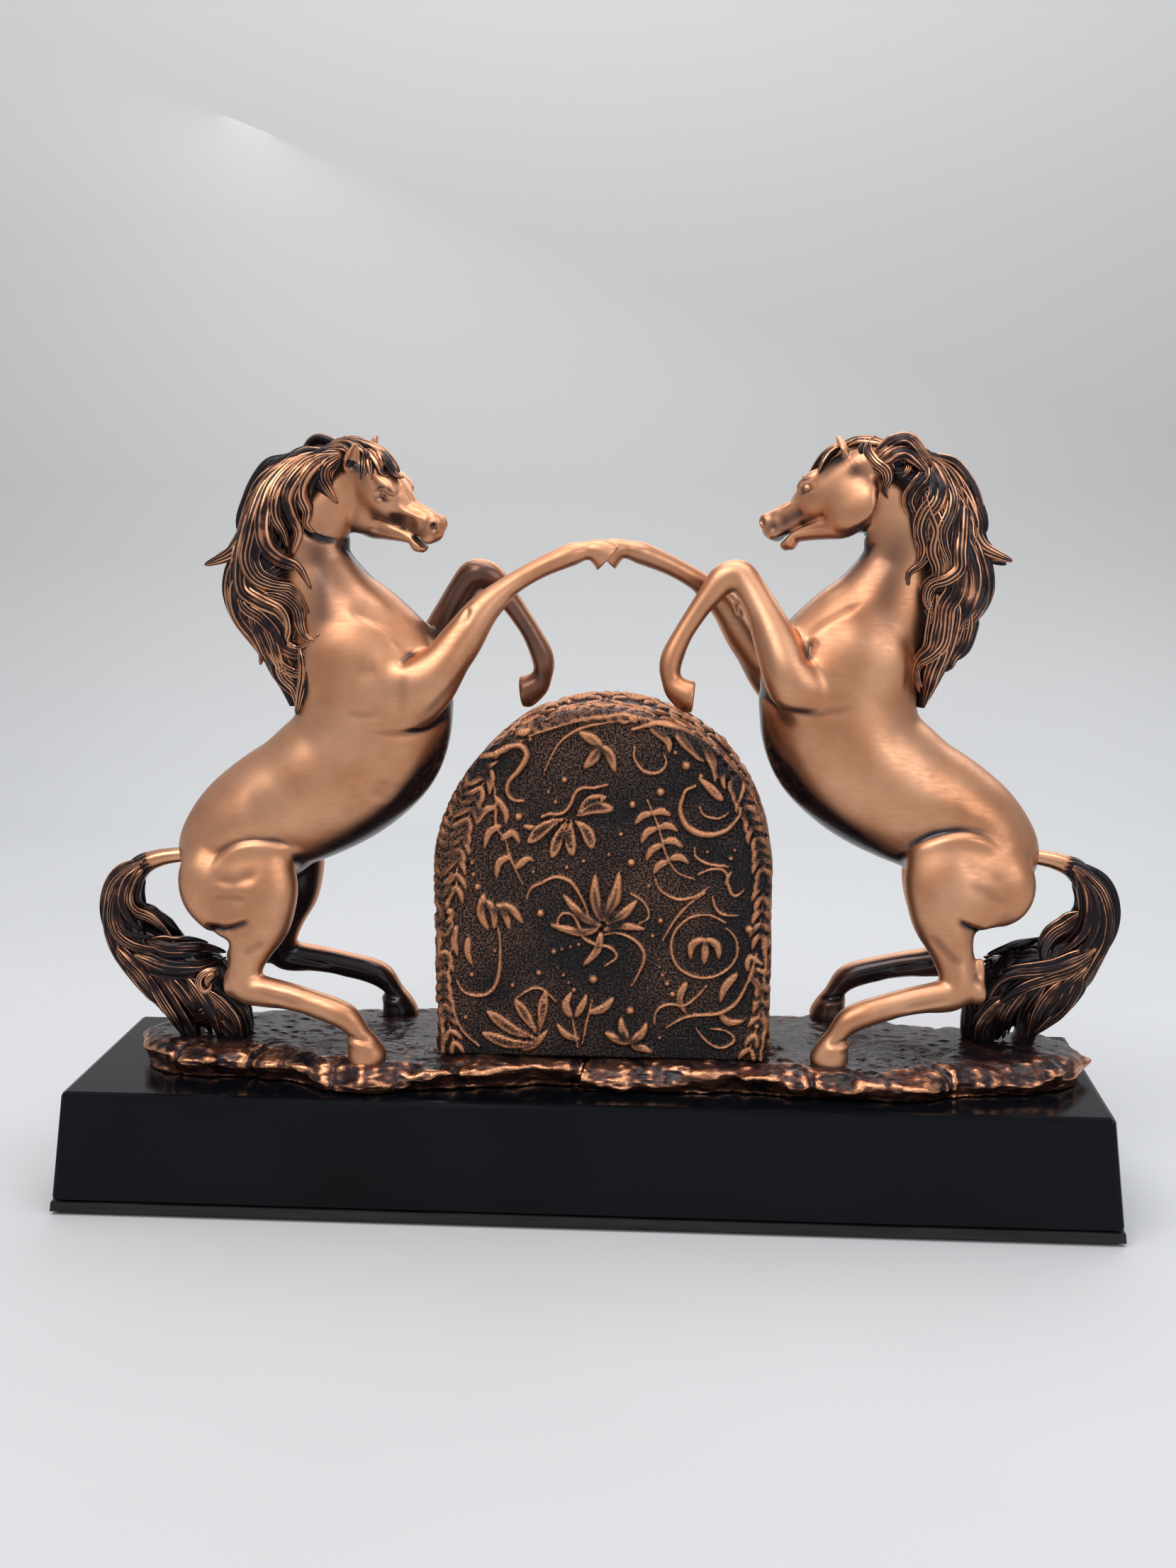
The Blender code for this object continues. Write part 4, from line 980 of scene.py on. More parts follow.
def shade_of(points, normals, hollow, label):
    """How dark the surface is: patina and painted shade in the hollows, painted shade under the belly, on the breast,
    on faces turned down, inside the legs and in the groin.
    """
    nx, ny, nz = normals.T
    y, z = points[:, 1], points[:, 2]
    # hollows darker: patina and painted shade; rounded places a little lighter: rubbed copper; painted() adds patina,
    # painted shade and painted highlight along the drawn lines
    dark = rise(hollow, 0.05, 0.5) * 0.6 - rise(-hollow, 0.03, 0.3) * 0.15 + painted(points)
    # painted shade: belly, breast, faces turned down, insides of the legs (differing by leg) and the groin
    belly = rise(nx * 0.62 - nz * 0.78 - 0.25 * np.abs(ny), 0.26, 0.62) * rise(-(z - 248), 0, 30) * 1.1
    breast_shade = rise(nx - 0.3 * np.abs(ny), 0.35, 0.8) * rise(z, 225, 245) * rise(-(z - 292), 0, 14) * 0.7
    under = rise(-nz, 0.35, 0.8)
    inner_right = rise(ny, 0.1, 0.75) * (y < MID_Y)
    inner_left = rise(-ny, 0.1, 0.75) * (y > MID_Y)
    inner = np.where(label > 0, inner_right + inner_left, 0)
    inner = np.where(label == 3, rise(ny, 0.1, 0.8), inner)
    inner = np.where(label == 4, rise(-ny, 0.1, 0.8), inner) * np.choose(label, (0, 1.0, 1.15, 0.3, 0.86))
    body = np.maximum(np.maximum(belly, breast_shade), under * 0.7)
    leg = np.maximum(under * 0.6, inner)
    groin_shade = rise(-(z - 158), 0, 16) * rise(1 - np.abs(y - MID_Y) / 16, 0, 0.5) * (label == 0)
    return np.clip(dark + np.where(label == 0, body, leg) + groin_shade, -0.3, 1.2)


# ---------------------------------------------------------------- hair

MANE = (
    (-106, -7, 315.5, 4, 7), (-114, -7, 314.4, 5.4, 11), (-124, -7, 310.2, 7.4, 14.5), (-132, -7, 302.8, 10, 17),
    (-137.6, -7, 292.6, 11.4, 18.5), (-141, -7, 281, 12.6, 19.5), (-143.6, -7, 268, 14, 20), (-142.6, -7, 254, 14, 19.5),
    (-138.6, -7, 241, 11.2, 16), (-136.4, -7, 229, 7.8, 12), (-134.8, -7, 219.5, 4.4, 6.5), (-134, -7, 212.5, 1.8, 2.6),
)
TAIL = (
    (-176, -11, 147.6, 3.4, 3.4), (-187, -11, 146.9, 3.5, 3.6), (-196, -10.5, 145.0, 4.1, 4.3),
    (-203.6, -10, 141.2, 5.0, 5.4), (-209.6, -9.5, 132.8, 6.2, 6.8), (-211, -9, 122, 7.6, 8.4),
    (-209, -9, 111, 9.4, 9.8), (-203.5, -9, 100, 10.6, 10.6), (-196.5, -9, 89.5, 9.6, 10.5),
    (-189.5, -9, 79, 7.2, 9.4), (-185, -9, 71, 5, 8), (-183, -9, 64, 5, 7.5),
)
TAIL_MASS = (
    (-206, -9, 111, 5, 6), (-197, -9, 103.5, 8.5, 9), (-185, -9.5, 96.5, 12, 11.5), (-175, -10, 89.5, 13, 12.5),
    (-168, -10, 80, 11.5, 12), (-164.5, -10, 71.5, 9, 11), (-163.5, -10, 64, 7, 9.5),
)
# Locks drawn on the side view: width, then x, z points from root to tip.
MANE_RIGHT = (
    (5.4, (-109, 318.6), (-115.0, 314.4), (-116.6, 308.5), (-113.8, 303), (-111.0, 298.6)),
    (6.0, (-109, 318.6), (-118, 315.4), (-124, 308), (-125.5, 301), (-123.6, 295), (-124.4, 290), (-121, 286.6)),
    (6.0, (-112, 319), (-121, 316), (-128, 308.6), (-131, 301), (-130, 293), (-127.5, 287), (-129, 281), (-130.4, 277)),
    (6.5, (-114, 319), (-124.5, 315.6), (-132, 308.6), (-135.4, 300.6), (-135.4, 293), (-132.4, 286.5), (-131.5, 280)),
    (6.5, (-116, 319), (-128, 315), (-136, 307.4), (-139.6, 298), (-140.6, 289), (-139, 281), (-134, 275.5),
     (-128, 272.5), (-125, 268.5), (-122.5, 264)),
    (7.0, (-119, 318.6), (-131, 314), (-139, 305.6), (-143, 295.6), (-145.4, 285.6), (-147, 276), (-143.5, 268.5),
     (-137, 265), (-130, 263.5), (-126, 259), (-123, 254)),
    (7.5, (-121, 317.6), (-133, 312.6), (-141, 303.6), (-145.6, 293.6), (-148.4, 283.6), (-150, 272), (-149, 263), (-142, 258),
     (-135, 254), (-133, 247), (-134, 241), (-129, 238), (-123, 240), (-117.5, 245)),
    (6.0, (-151, 266), (-149, 257), (-142, 252), (-137, 246), (-134.5, 239), (-128, 236), (-121, 240)),
    (5.0, (-142, 262), (-134, 260), (-128, 255), (-126.5, 248), (-124, 243.5), (-119.5, 242)),
    (5.0, (-137, 248), (-138, 239), (-135, 231), (-129, 228), (-124, 231), (-120.5, 235)),
    (5.5, (-136, 236), (-135, 227), (-130.5, 221), (-129.5, 215), (-131, 210.5)),
    (5.0, (-127, 240), (-125, 233), (-125.5, 225), (-127.5, 218), (-130, 210)),
    (7.5, (-136, 307), (-142.6, 300), (-147, 291.6), (-149.4, 285), (-154.5, 279.5), (-160, 276.2), (-168.6, 273)),
    (7.0, (-151, 280), (-154, 270), (-155.5, 262), (-153.5, 254), (-149, 247), (-145.5, 241), (-144, 236), (-146, 231)),
    (6.5, (-150, 272), (-153, 262), (-151, 252), (-146, 245), (-144, 238), (-143.5, 233.5)),
    (5.5, (-145, 258), (-144, 249), (-141, 240), (-139, 232), (-140, 227.5)),
    (5.0, (-141, 250), (-138.5, 243), (-137, 236), (-136, 229), (-136.5, 226)),
    (6.5, (-126, 315.6), (-136.4, 308.4), (-142.6, 298.6), (-146.8, 288.6), (-148, 278)),
)
MANE_LEFT = (
    (5.0, (-111, 326), (-108, 321), (-111, 316), (-115.5, 312), (-116.5, 308), (-115, 304), (-116.5, 301)),
    (3.4, (-122, 321), (-125.5, 317), (-124.5, 312), (-122.5, 309)),
    (5.0, (-126, 322), (-131.5, 317), (-132.5, 310), (-128.5, 305), (-126, 300), (-128, 294), (-128, 287), (-129, 280)),
    (6.5, (-124, 320.5), (-133, 315), (-137.5, 306), (-136.5, 299), (-133, 294), (-131.5, 288), (-133, 280), (-131, 274),
     (-126, 270), (-126, 265.5)),
    (5.5, (-127, 320), (-137, 313), (-142, 303), (-141, 295), (-138, 288), (-139, 281), (-141, 275), (-137, 269)),
    (6.5, (-130, 319.5), (-142, 312), (-147.5, 301), (-147, 290), (-146, 279), (-146, 272), (-141, 267.5), (-135, 265),
     (-133.5, 259), (-136, 253), (-133.5, 246)),
    (6.5, (-148, 280), (-146.5, 270), (-145, 262), (-141.5, 256), (-141, 248), (-140, 241), (-136, 236), (-131, 232),
     (-131, 226), (-133.5, 222)),
    (5.0, (-137, 262), (-138, 254), (-137, 246), (-136, 239), (-132, 234), (-130, 228), (-132, 220)),
    (7.5, (-140, 310), (-147, 302), (-152, 292), (-152.5, 285.5), (-156, 280.6), (-161, 278), (-168.6, 275)),
    (7.5, (-148.5, 290), (-152.5, 279), (-156, 268), (-156, 259), (-152.5, 252.5), (-147.5, 247.5), (-145.5, 243)),
    (7.0, (-147.5, 288), (-150, 279), (-152.5, 270), (-152, 262), (-148.5, 254), (-145.5, 247), (-144.5, 240)),
    (6.0, (-151, 255), (-150.5, 247), (-149, 240), (-145.5, 235), (-144.5, 231), (-141.5, 229)),
    (5.5, (-145, 260), (-144.5, 250), (-143, 241), (-141.5, 234), (-139.5, 229.5)),
    (5.5, (-141, 246), (-140, 237), (-137.5, 229), (-136, 221), (-134.5, 214)),
    (7.0, (-132, 318), (-143, 310), (-150, 299), (-152, 288), (-150, 280), (-150, 271)),
    (6.0, (-131, 304), (-134, 296), (-137, 288), (-136, 280), (-138, 272), (-136, 262)),
)
# Tufts along the crest: width, then x, y, z points.
MANE_CREST = (
    (6.5, (-104, -9, 317), (-112, -10, 318.6), (-120, -9, 318.4), (-128, -9, 316), (-134, -10, 310.6)),
    (6.0, (-111, 2, 319), (-118, 4, 323.4), (-124, 6, 324.6), (-129, 6, 320), (-134, 5, 314)),
    (8.0, (-111, 4, 314), (-117, 5, 318.4), (-123, 6, 319.4), (-128, 6, 316), (-133, 5, 310)),
    (7.0, (-110, -4, 315), (-117, -3, 318), (-124, -2, 318.4), (-130, -2, 314), (-135, -2, 308)),
    (7.5, (-116, -6, 318.4), (-126, -6, 317), (-133, -7, 313.4), (-139.4, -7, 308), (-144, -7, 301.6),
     (-147.6, -7, 293), (-151, -8, 284)),
    (7.5, (-122, -12, 316), (-131, -13, 312), (-138, -14, 306), (-143, -15, 298.6), (-146.4, -15, 290), (-149, -13, 280)),
    (7.5, (-122, 0, 316), (-132, 1, 312), (-139, 1, 306), (-144, 2, 298.6), (-148, 2, 290), (-151, 1, 280)),
    (8.0, (-152, -7, 290), (-154, -6, 279), (-155, -6, 268), (-153, -7, 257), (-149, -8, 248), (-146, -7, 241)),
    (7.5, (-150.5, -14, 280), (-152.5, -13, 268), (-151.5, -12, 257), (-147.5, -11, 247), (-143.5, -10, 239), (-143.5, -10, 232)),
    (7.5, (-151, 0, 280), (-154, -1, 268), (-153, -2, 257), (-148, -3, 247), (-143, -4, 239), (-140, -5, 231)),
    (5.5, (-147, -7, 250), (-144, -7, 240), (-140.5, -7, 231), (-137, -7, 222), (-134, -7, 214)),
)
# The forelock, in the head's axes.
FORELOCK_LOCKS = (
    (5.4, (2, 0, 6.4), (8, -0.3, 8.4), (14, -0.9, 9.2), (19.5, -1.5, 8.0), (23.4, -1.8, 7.4), (26.2, -1.8, 9.2)),
    (4.4, (4, -2, 6.2), (9.5, -3.4, 7.8), (14.5, -4.4, 7.2), (18.4, -4.9, 5.6), (21.2, -4.4, 6.2)),
    (3.4, (6, -3, 6.6), (10.2, -5.2, 6.0), (13.8, -6.9, 4.2), (16.6, -7.8, 1.6)),
    (3.2, (6.4, -4, 6.2), (9.4, -6.8, 4.6), (12.0, -8.2, 1.8), (12.6, -8.6, -1.6)),
    (4.6, (2, 2, 6.4), (8, 3, 8.2), (14.5, 4, 7.6), (20, 4.4, 5.8)),
    (4.0, (3, 3.6, 5.8), (8, 5.8, 6.2), (13, 7.4, 4.0), (16.4, 8.2, 1.4)),
    (4.6, (-5, -0.5, 3.0), (-1, -0.6, 5.8), (4, -0.4, 8.0), (9, 0.4, 9.4), (13, 1.2, 10.2)),
    (2.6, (9, -1, 9.0), (12, -2.4, 10.0), (15, -3.4, 9.4), (16.8, -3.6, 7.6)),
    (2.4, (5, -3, 7.2), (6.8, -4.6, 8.0), (9.4, -5.6, 7.4), (10.8, -6.4, 5.2)),
    (5.0, (-12, -1, -4), (-7, -1.6, 1.0), (-2.5, -2.2, 4.2), (2, -3, 5.6), (6, -3.8, 6.4), (9, -4.6, 5.4)),
    (5.0, (-12, 2, -4), (-7, 2.2, 1.0), (-2.5, 2.4, 4.2), (3, 2.8, 6.0), (8, 3.2, 7.0)),
    (4.6, (-12, -4, -6), (-7, -5, -0.6), (-3, -5.8, 2.4), (0, -6.2, 3.4), (3, -6.6, 2.4)),
    (4.6, (-12, 4, -6), (-7, 5.0, -0.6), (-3, 5.4, 2.4), (1, 5.6, 3.4)),
)
TAIL_RIGHT = (
    (5.0, (-201, 144.6), (-208.4, 140.5), (-215.4, 133), (-218.4, 123), (-217, 113), (-212.6, 103), (-206.6, 94),
     (-201, 86), (-198, 82)),
    (4.6, (-202, 142.6), (-208, 138.2), (-212.6, 131.6), (-215, 122), (-213, 114), (-207.6, 109), (-201, 106.4),
     (-195, 105.4), (-189, 103)),
    (4.2, (-203, 141.6), (-208, 136.4), (-211, 130), (-212, 121), (-209.6, 115), (-204.6, 112), (-198, 111)),
    (4.2, (-203, 141.5), (-207.4, 136), (-209.4, 128), (-206.8, 120), (-202, 114)),
    (4.6, (-201, 141), (-205.5, 136), (-207.5, 128), (-205, 122), (-199, 118), (-193, 112.4), (-188, 107.5)),
    (5.0, (-214, 107), (-208, 101), (-203, 96.5), (-198.6, 90), (-196, 84)),
    (4.6, (-212, 103), (-205.6, 95.5), (-200, 88.5), (-196.4, 84.6), (-190, 83.4), (-183, 82.6)),
    (5.5, (-205, 104), (-196, 99.5), (-188, 98), (-180, 98), (-173, 98.6), (-167, 101)),
    (5.5, (-200, 109), (-191, 106.4), (-182, 106), (-174, 105), (-167, 103)),
    (5.0, (-199, 95), (-194, 86), (-189.4, 77), (-186.4, 70), (-185, 65.5)),
    (5.0, (-196, 95), (-190, 86), (-186, 78), (-182.6, 71), (-181, 65.5)),
    (5.0, (-190, 95), (-184, 88), (-179, 80), (-176, 72), (-175, 65.5)),
    (5.0, (-181, 95), (-176, 88), (-171, 80), (-169, 72), (-168.4, 65.5)),
    (4.8, (-182, 72.4), (-177, 75), (-171.6, 79), (-166.4, 84.4)),
    (4.4, (-181, 74.6), (-175.6, 78.6), (-170, 83)),
    (5.0, (-173, 90), (-166, 84), (-161, 77), (-159.6, 70), (-159.4, 65.5)),
)
TAIL_LEFT = (
    (5.0, (-201, 144.4), (-207, 140.2), (-213, 133), (-216, 123), (-214.6, 112), (-210, 103), (-206, 95),
     (-204, 88), (-203.6, 83)),
    (4.6, (-201, 144), (-207, 137.6), (-210.4, 130), (-210.6, 121), (-208, 112), (-203, 106)),
    (4.4, (-202, 141.6), (-206.5, 135), (-207.6, 127), (-206, 118), (-201, 111), (-195, 107)),
    (5.6, (-211, 110), (-204, 104.5), (-195, 100.5), (-186, 99), (-177, 98), (-171, 95), (-167.5, 90), (-166, 85)),
    (5.6, (-210, 106), (-201, 100), (-191, 96.5), (-183, 94), (-176, 90), (-171, 85.5), (-168, 82)),
    (4.6, (-208, 102), (-201, 96), (-196, 91), (-193, 85)),
    (5.0, (-200, 97), (-193, 90), (-188.5, 83), (-186, 75), (-184.4, 66)),
    (5.0, (-190, 94), (-185, 86), (-182.5, 79), (-181, 71), (-180, 65.5)),
    (5.5, (-206, 99), (-202.5, 90), (-198.4, 82), (-192, 75), (-186.5, 70)),
    (5.5, (-205, 124), (-200, 118), (-194, 114), (-189.5, 108), (-189, 101)),
    (5.0, (-182, 92), (-176, 84), (-172.6, 75), (-171.6, 65.5)),
    (5.0, (-174, 88), (-167, 81), (-163, 74), (-162, 65.5)),
)
LATERAL = np.array((0.0, 1.0, 0.0))
RINGS_PER_MM = 0.62


class Outline:
    """How far out from the middle the chains reach, over the side view."""

    def __init__(self, chains, middle, side, first):
        low = np.min([(c[:, :3] - c[:, 3:4] - 4).min(0) for c in chains[first:]], 0)
        high = np.max([(c[:, :3] + c[:, 3:4] + 22).max(0) for c in chains[first:]], 0)
        self.x, self.z = np.arange(low[0], high[0], 1.5), np.arange(low[2], high[2], 1.5)
        gx, gz = (g.ravel() for g in np.meshgrid(self.x, self.z, indexing="ij"))
        reach = np.zeros(len(gx))
        for step in np.arange(0.0, 32.0, 1.0):
            points = np.stack([gx, np.full(len(gx), middle + side * step), gz], 1)
            inside = np.min([chain_distance(points, c, LATERAL) for c in chains], 0) < 0
            reach = np.where(inside, step + 0.8, reach)
        self.reach = reach.reshape(len(self.x), len(self.z))

    def at(self, x, z):
        i = np.interp(x, self.x, np.arange(len(self.x)))
        k = np.interp(z, self.z, np.arange(len(self.z)))
        return bilinear(self.reach, i, k)


def bilinear(array, i, k):
    """Values of a 2-D array at fractional places."""
    i0 = np.clip(np.floor(i).astype(int), 0, array.shape[0] - 2)
    k0 = np.clip(np.floor(k).astype(int), 0, array.shape[1] - 2)
    fi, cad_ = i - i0, k - k0
    top = array[i0, k0] * (1 - fi) + array[i0 + 1, k0] * fi
    bottom = array[i0, k0 + 1] * (1 - fi) + array[i0 + 1, k0 + 1] * fi
    return top * (1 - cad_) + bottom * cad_


def evened(values, passes):
    out = np.array(values, float)
    for _ in range(passes):
        out[1:-1] = 0.25 * out[:-2] + 0.5 * out[1:-1] + 0.25 * out[2:]
    return out


def lock_mesh(line, outward, width, strands, tone, fade, rng):
    """One lock: a flattened tapering sweep with strands along it. Returns points, faces and the ridge values, with
    painted shade on the back and the inward side of the lock and, by fade, towards its tip.
    """
    count = max(8, int(np.linalg.norm(np.diff(line, axis=0), axis=1).sum() * RINGS_PER_MM))
    t = np.linspace(0, 1, len(line))
    s = np.linspace(0, 1, count)
    line = np.stack([np.interp(s, t, line[:, i]) for i in range(3)], 1)
    outward = np.stack([np.interp(s, t, outward[:, i]) for i in range(3)], 1)
    tangent = np.gradient(line, axis=0)
    tangent /= np.linalg.norm(tangent, axis=1, keepdims=True) + SMALL
    normal = outward - tangent * (outward * tangent).sum(1, keepdims=True)
    normal /= np.linalg.norm(normal, axis=1, keepdims=True) + SMALL
    across = np.cross(tangent, normal)
    swell = np.minimum(1.0, 0.22 + s * 4.0) * np.minimum(1.0, (1.02 - s) * 2.6) ** 0.62
    half = width / 2 * swell
    thick = 0.86 * half ** 0.75
    around = strands * 6
    theta = np.linspace(0, 2 * math.pi, around, endpoint=False)
    u = np.cos(theta)
    turn = rng.uniform(-0.5, 0.5)
    phase = rng.uniform(0, 1)
    wave = np.cos(math.pi * (strands * u[None, :] + turn * 2 * s[:, None] + phase))
    fine = np.cos(math.pi * (strands * 2.6 * u[None, :] - turn * s[:, None] + 2 * phase))
    strand = np.floor((strands * u[None, :] + turn * 2 * s[:, None] + phase) / 2 + 0.5).astype(int)
    bold = rng.uniform(0.25, 1.15, 8)[strand % 8] * (0.8 + 0.35 * np.sin(s * 9 + 6 * phase))[:, None]
    rolled = np.exp(-(((u * rng.choice((-1, 1)) - 0.8) / 0.13) ** 2))[None, :]
    front = (np.sin(theta) > -0.2)[None, :]
    groove = np.where(front, 0.74 + (0.1 + 0.18 * bold) * wave + 0.06 * fine + 0.10 * rolled, 0.7)
    points = (
        line[:, None, :]
        + across[:, None, :] * (half[:, None] * u[None, :] * (0.9 + 0.1 * groove))[:, :, None]
        + normal[:, None, :] * (thick[:, None] * np.sin(theta)[None, :] * groove * 1.35)[:, :, None]
    )
    # painted shade: the back of the lock gets a near-black value; below, fade darkens the lock towards its tip and the
    # side turned inwards is darkened
    ridge = np.where(front, 0.30 + 0.14 * bold + (0.16 + 0.36 * bold) * wave + 0.08 * fine + 0.4 * rolled, 0.1)
    ridge = ridge + tone - fade * s[:, None]
    ridge *= 0.6 + 0.4 * np.clip(np.sin(theta)[None, :] + 0.6, 0, 1)
    points = points.reshape(-1, 3)
    a = (np.arange(count - 1)[:, None] * around + np.arange(around)[None, :]).ravel()
    b = (np.arange(count - 1)[:, None] * around + (np.arange(around)[None, :] + 1) % around).ravel()
    faces = np.stack([a, b, b + around, a + around], 1)
    ends = np.stack([line[0] - tangent[0] * 0.3, line[-1] + tangent[-1] * 0.4])
    first, last = len(points), len(points) + 1
    ring = np.arange(around)
    nxt = (ring + 1) % around
    top = (count - 1) * around
    caps = [(first, q, p) for p, q in zip(ring, nxt)] + [(last, top + p, top + q) for p, q in zip(ring, nxt)]
    return np.concatenate([points, ends]), faces.tolist() + caps, np.concatenate([ridge.ravel(), [tone, tone + 0.4]])


class Tress:
    """Collects locks into one mesh."""

    def __init__(self, seed):
        self.points, self.faces, self.ridge, self.total = [], [], [], 0
        self.rng = np.random.default_rng(seed)

    def take(self, made):
        points, faces, ridge = made
        self.faces += [tuple(i + self.total for i in f) for f in faces]
        self.points.append(points)
        self.ridge.append(ridge)
        self.total += len(points)

    def lock(self, line, outward, width, strands=4, tone=0.0, fade=0.0):
        self.take(lock_mesh(line, outward, width, strands, tone, fade, self.rng))

    def drawn(self, rows, chains, middle, side, lift, least, first=1, fade=0.0):
        """Locks drawn on the side view, lying on the chains, each with two lower neighbours."""
        outline = Outline(chains, middle, side, first)
        for row in rows:
            width = row[0]
            path = smooth_path([(x, 0, z) for x, z in row[1:]], 2.0)
            step = np.gradient(path, axis=0)
            step /= np.linalg.norm(step, axis=1, keepdims=True) + SMALL
            beside = np.stack([-step[:, 2], np.zeros(len(path)), step[:, 0]], 1)
            share = np.linspace(0, 1, len(path))
            # the two lower neighbours get darker tones: painted shade under the top lock
            for shift, scale, drop, tone in ((0, 1.0, 0, 0.06), (0.6, 0.8, 1.3, -0.10), (-0.6, 0.8, 1.5, -0.16)):
                spread = shift * width * (1 - 0.55 * share) * np.clip(share / 0.2, 0.1, 1)
                line = path + beside * (spread + self.rng.normal(0, 0.2))[:, None]
                if shift:
                    keep = max(5, int(len(line) * self.rng.uniform(0.78, 0.93)))
                    line = line[:keep]
                out = outline.at(line[:, 0], line[:, 2])
                out = np.maximum(evened(np.maximum(out, least), 6), least)
                part = np.linspace(0, 1, len(line))
                out = out + lift - drop + 1.1 * np.sin(part * math.pi) + self.rng.uniform(-0.3, 0.5)
                line[:, 1] = middle + side * out
                outward = np.zeros_like(line)
                outward[:, 1] = side
                self.lock(line, outward, width * scale, 4 if width > 4.5 else 3, tone, fade)

    def placed(self, rows, centre, tone=0.0, strands=4):
        """Locks given in space; they face away from the centre line."""
        for row in rows:
            path = smooth_path(row[1:], 2.0)
            outward = path - np.array([centre(p) for p in path])
            self.lock(path, outward, row[0], strands, tone)

    def core(self, stations, shrink, strands, waves, sections=200, around=168, bare=0.0):
        """The mass under the locks: a closed loft with fine strands along it, smooth over its bare first share."""
        path = smooth_path(stations, 0.6)
        index = np.linspace(0, len(path) - 1, sections)
        rows = np.stack([np.interp(index, np.arange(len(path)), path[:, i]) for i in range(5)], 1)
        tangent = np.gradient(rows[:, :3], axis=0)
        tangent /= np.linalg.norm(tangent, axis=1, keepdims=True)
        side = LATERAL - tangent * (tangent @ LATERAL)[:, None]
        side /= np.linalg.norm(side, axis=1, keepdims=True)
        up = np.cross(tangent, side)
        s = np.linspace(0, 1, sections)[:, None]
        phi = np.linspace(0, 2 * math.pi, around, endpoint=False)[None, :]
        bent = phi + 0.30 * np.sin(2 * math.pi * waves * s) + 0.12 * np.sin(2 * math.pi * 2.3 * waves * s + 1)
        wave = np.cos(strands * bent) * 0.6 + np.cos((strands * 2 + 1) * bent + 2) * 0.4
        lump = np.cos(5 * bent + 7 * s)
        haired = rise(s, bare, bare + 0.06) if bare else 1.0
        wave, lump = wave * haired, lump * haired
        radius = shrink * (1 + 0.035 * wave + 0.03 * lump)
        points = (
            rows[:, None, :3]
            + up[:, None, :] * (rows[:, 3:4] * radius * np.cos(phi))[:, :, None]
            + side[:, None, :] * (rows[:, 4:5] * radius * np.sin(phi))[:, :, None]
        )
        ridge = (0.2 + 0.3 * wave + 0.62 * (1 - haired)).reshape(-1)
        points = points.reshape(-1, 3)
        a = (np.arange(sections - 1)[:, None] * around + np.arange(around)[None, :]).ravel()
        b = (np.arange(sections - 1)[:, None] * around + (np.arange(around)[None, :] + 1) % around).ravel()
        faces = np.stack([a, a + around, b + around, b], 1).tolist()
        ends = rows[[0, -1], :3]
        ring = np.arange(around)
        nxt, top, first = (ring + 1) % around, (sections - 1) * around, len(points)
        faces += [(first, p, q) for p, q in zip(ring, nxt)]
        faces += [(first + 1, top + q, top + p) for p, q in zip(ring, nxt)]
        self.take((np.concatenate([points, ends]), faces, np.concatenate([ridge, [0.2, 0.2]])))

    def mesh(self, name):
        return build_mesh(name, np.concatenate(self.points), self.faces, True, {"ridge": np.concatenate(self.ridge)})


def mane_mesh():
    tress = Tress(11)
    tress.core(MANE, 0.93, 26, 4.0)
    torso, mane = smooth_path(TORSO, 6.0), smooth_path(MANE, 4.0)
    tress.drawn(MANE_RIGHT, (torso, mane), MID_Y, RIGHT, 0.2, 7.0)
    tress.drawn(MANE_LEFT, (torso, mane), MID_Y, LEFT, 0.2, 7.0)
    tress.placed(MANE_CREST, lambda p: mane[np.argmin(np.linalg.norm(mane[:, :3] - p, axis=1)), :3], 0.02, 5)
    return tress.mesh("mane")


def forelock_mesh():
    tress = Tress(5)
    inner = head_place(8, 0, -8)
    locks = [(width, *(head_place(*place) for place in places)) for width, *places in FORELOCK_LOCKS]
    tress.placed(locks, lambda p: inner, 0.05, 3)
    return tress.mesh("forelock")


def tail_mesh():
    tress = Tress(23)
    tress.core(TAIL, 0.95, 13, 2.2, 190, 132, 0.17)
    tress.core(TAIL_MASS, 0.95, 15, 3.0, 110, 120)
    tail, mass = smooth_path(TAIL, 4.0), smooth_path(TAIL_MASS, 4.0)
    # fade 0.30: painted shade, each tail lock darker towards its tip
    tress.drawn(TAIL_RIGHT, (tail, mass), -9.0, RIGHT, -0.6, 1.5, 0, 0.30)
    tress.drawn(TAIL_LEFT, (tail, mass), -9.0, LEFT, -0.6, 1.5, 0, 0.30)
    curl = ((3.4, (-167, -22, 99), (-171, -23, 98.4), (-174.6, -23.5, 96), (-175.4, -23.5, 92), (-173.6, -23.5, 88.8),
             (-171, -23, 89.6), (-170, -23, 93)),
            (3.0, (-167, -22, 97), (-170, -24, 96.4), (-171.6, -24, 94), (-171.4, -24, 91.4)))
    tress.placed(curl, lambda p: np.array((-172, -12, 93)), 0.3, 3)
    return tress.mesh("tail")


def add_horses():
    horse = horse_meshes()
    hair = {"mane": mane_mesh(), "forelock": forelock_mesh(), "tail": tail_mesh()}
    for side, place in GROUP_PLACES.items():
        plate = MATERIALS["bronze_plate"]
        piece(f"{side}_horse_body", horse["body"], plate, [f"{side}_body"], place)
        for leg, _, _, hidden in LEG_SPECS:
            nodes = [f"{side}_{leg}"] + [f"{side}_{n}" for n in hidden]
            piece(f"{side}_horse_{leg}", horse[leg], plate, nodes, place)
        for name, mesh in hair.items():
            hidden = [f"{side}_tail_pin"] if name == "tail" else []
            piece(f"{side}_horse_{name}", mesh, MATERIALS["dark_patina"],
                  [f"{side}_{name}"] + hidden, place)


add_horses()

# ---------------------------------------------------------------- the carved block

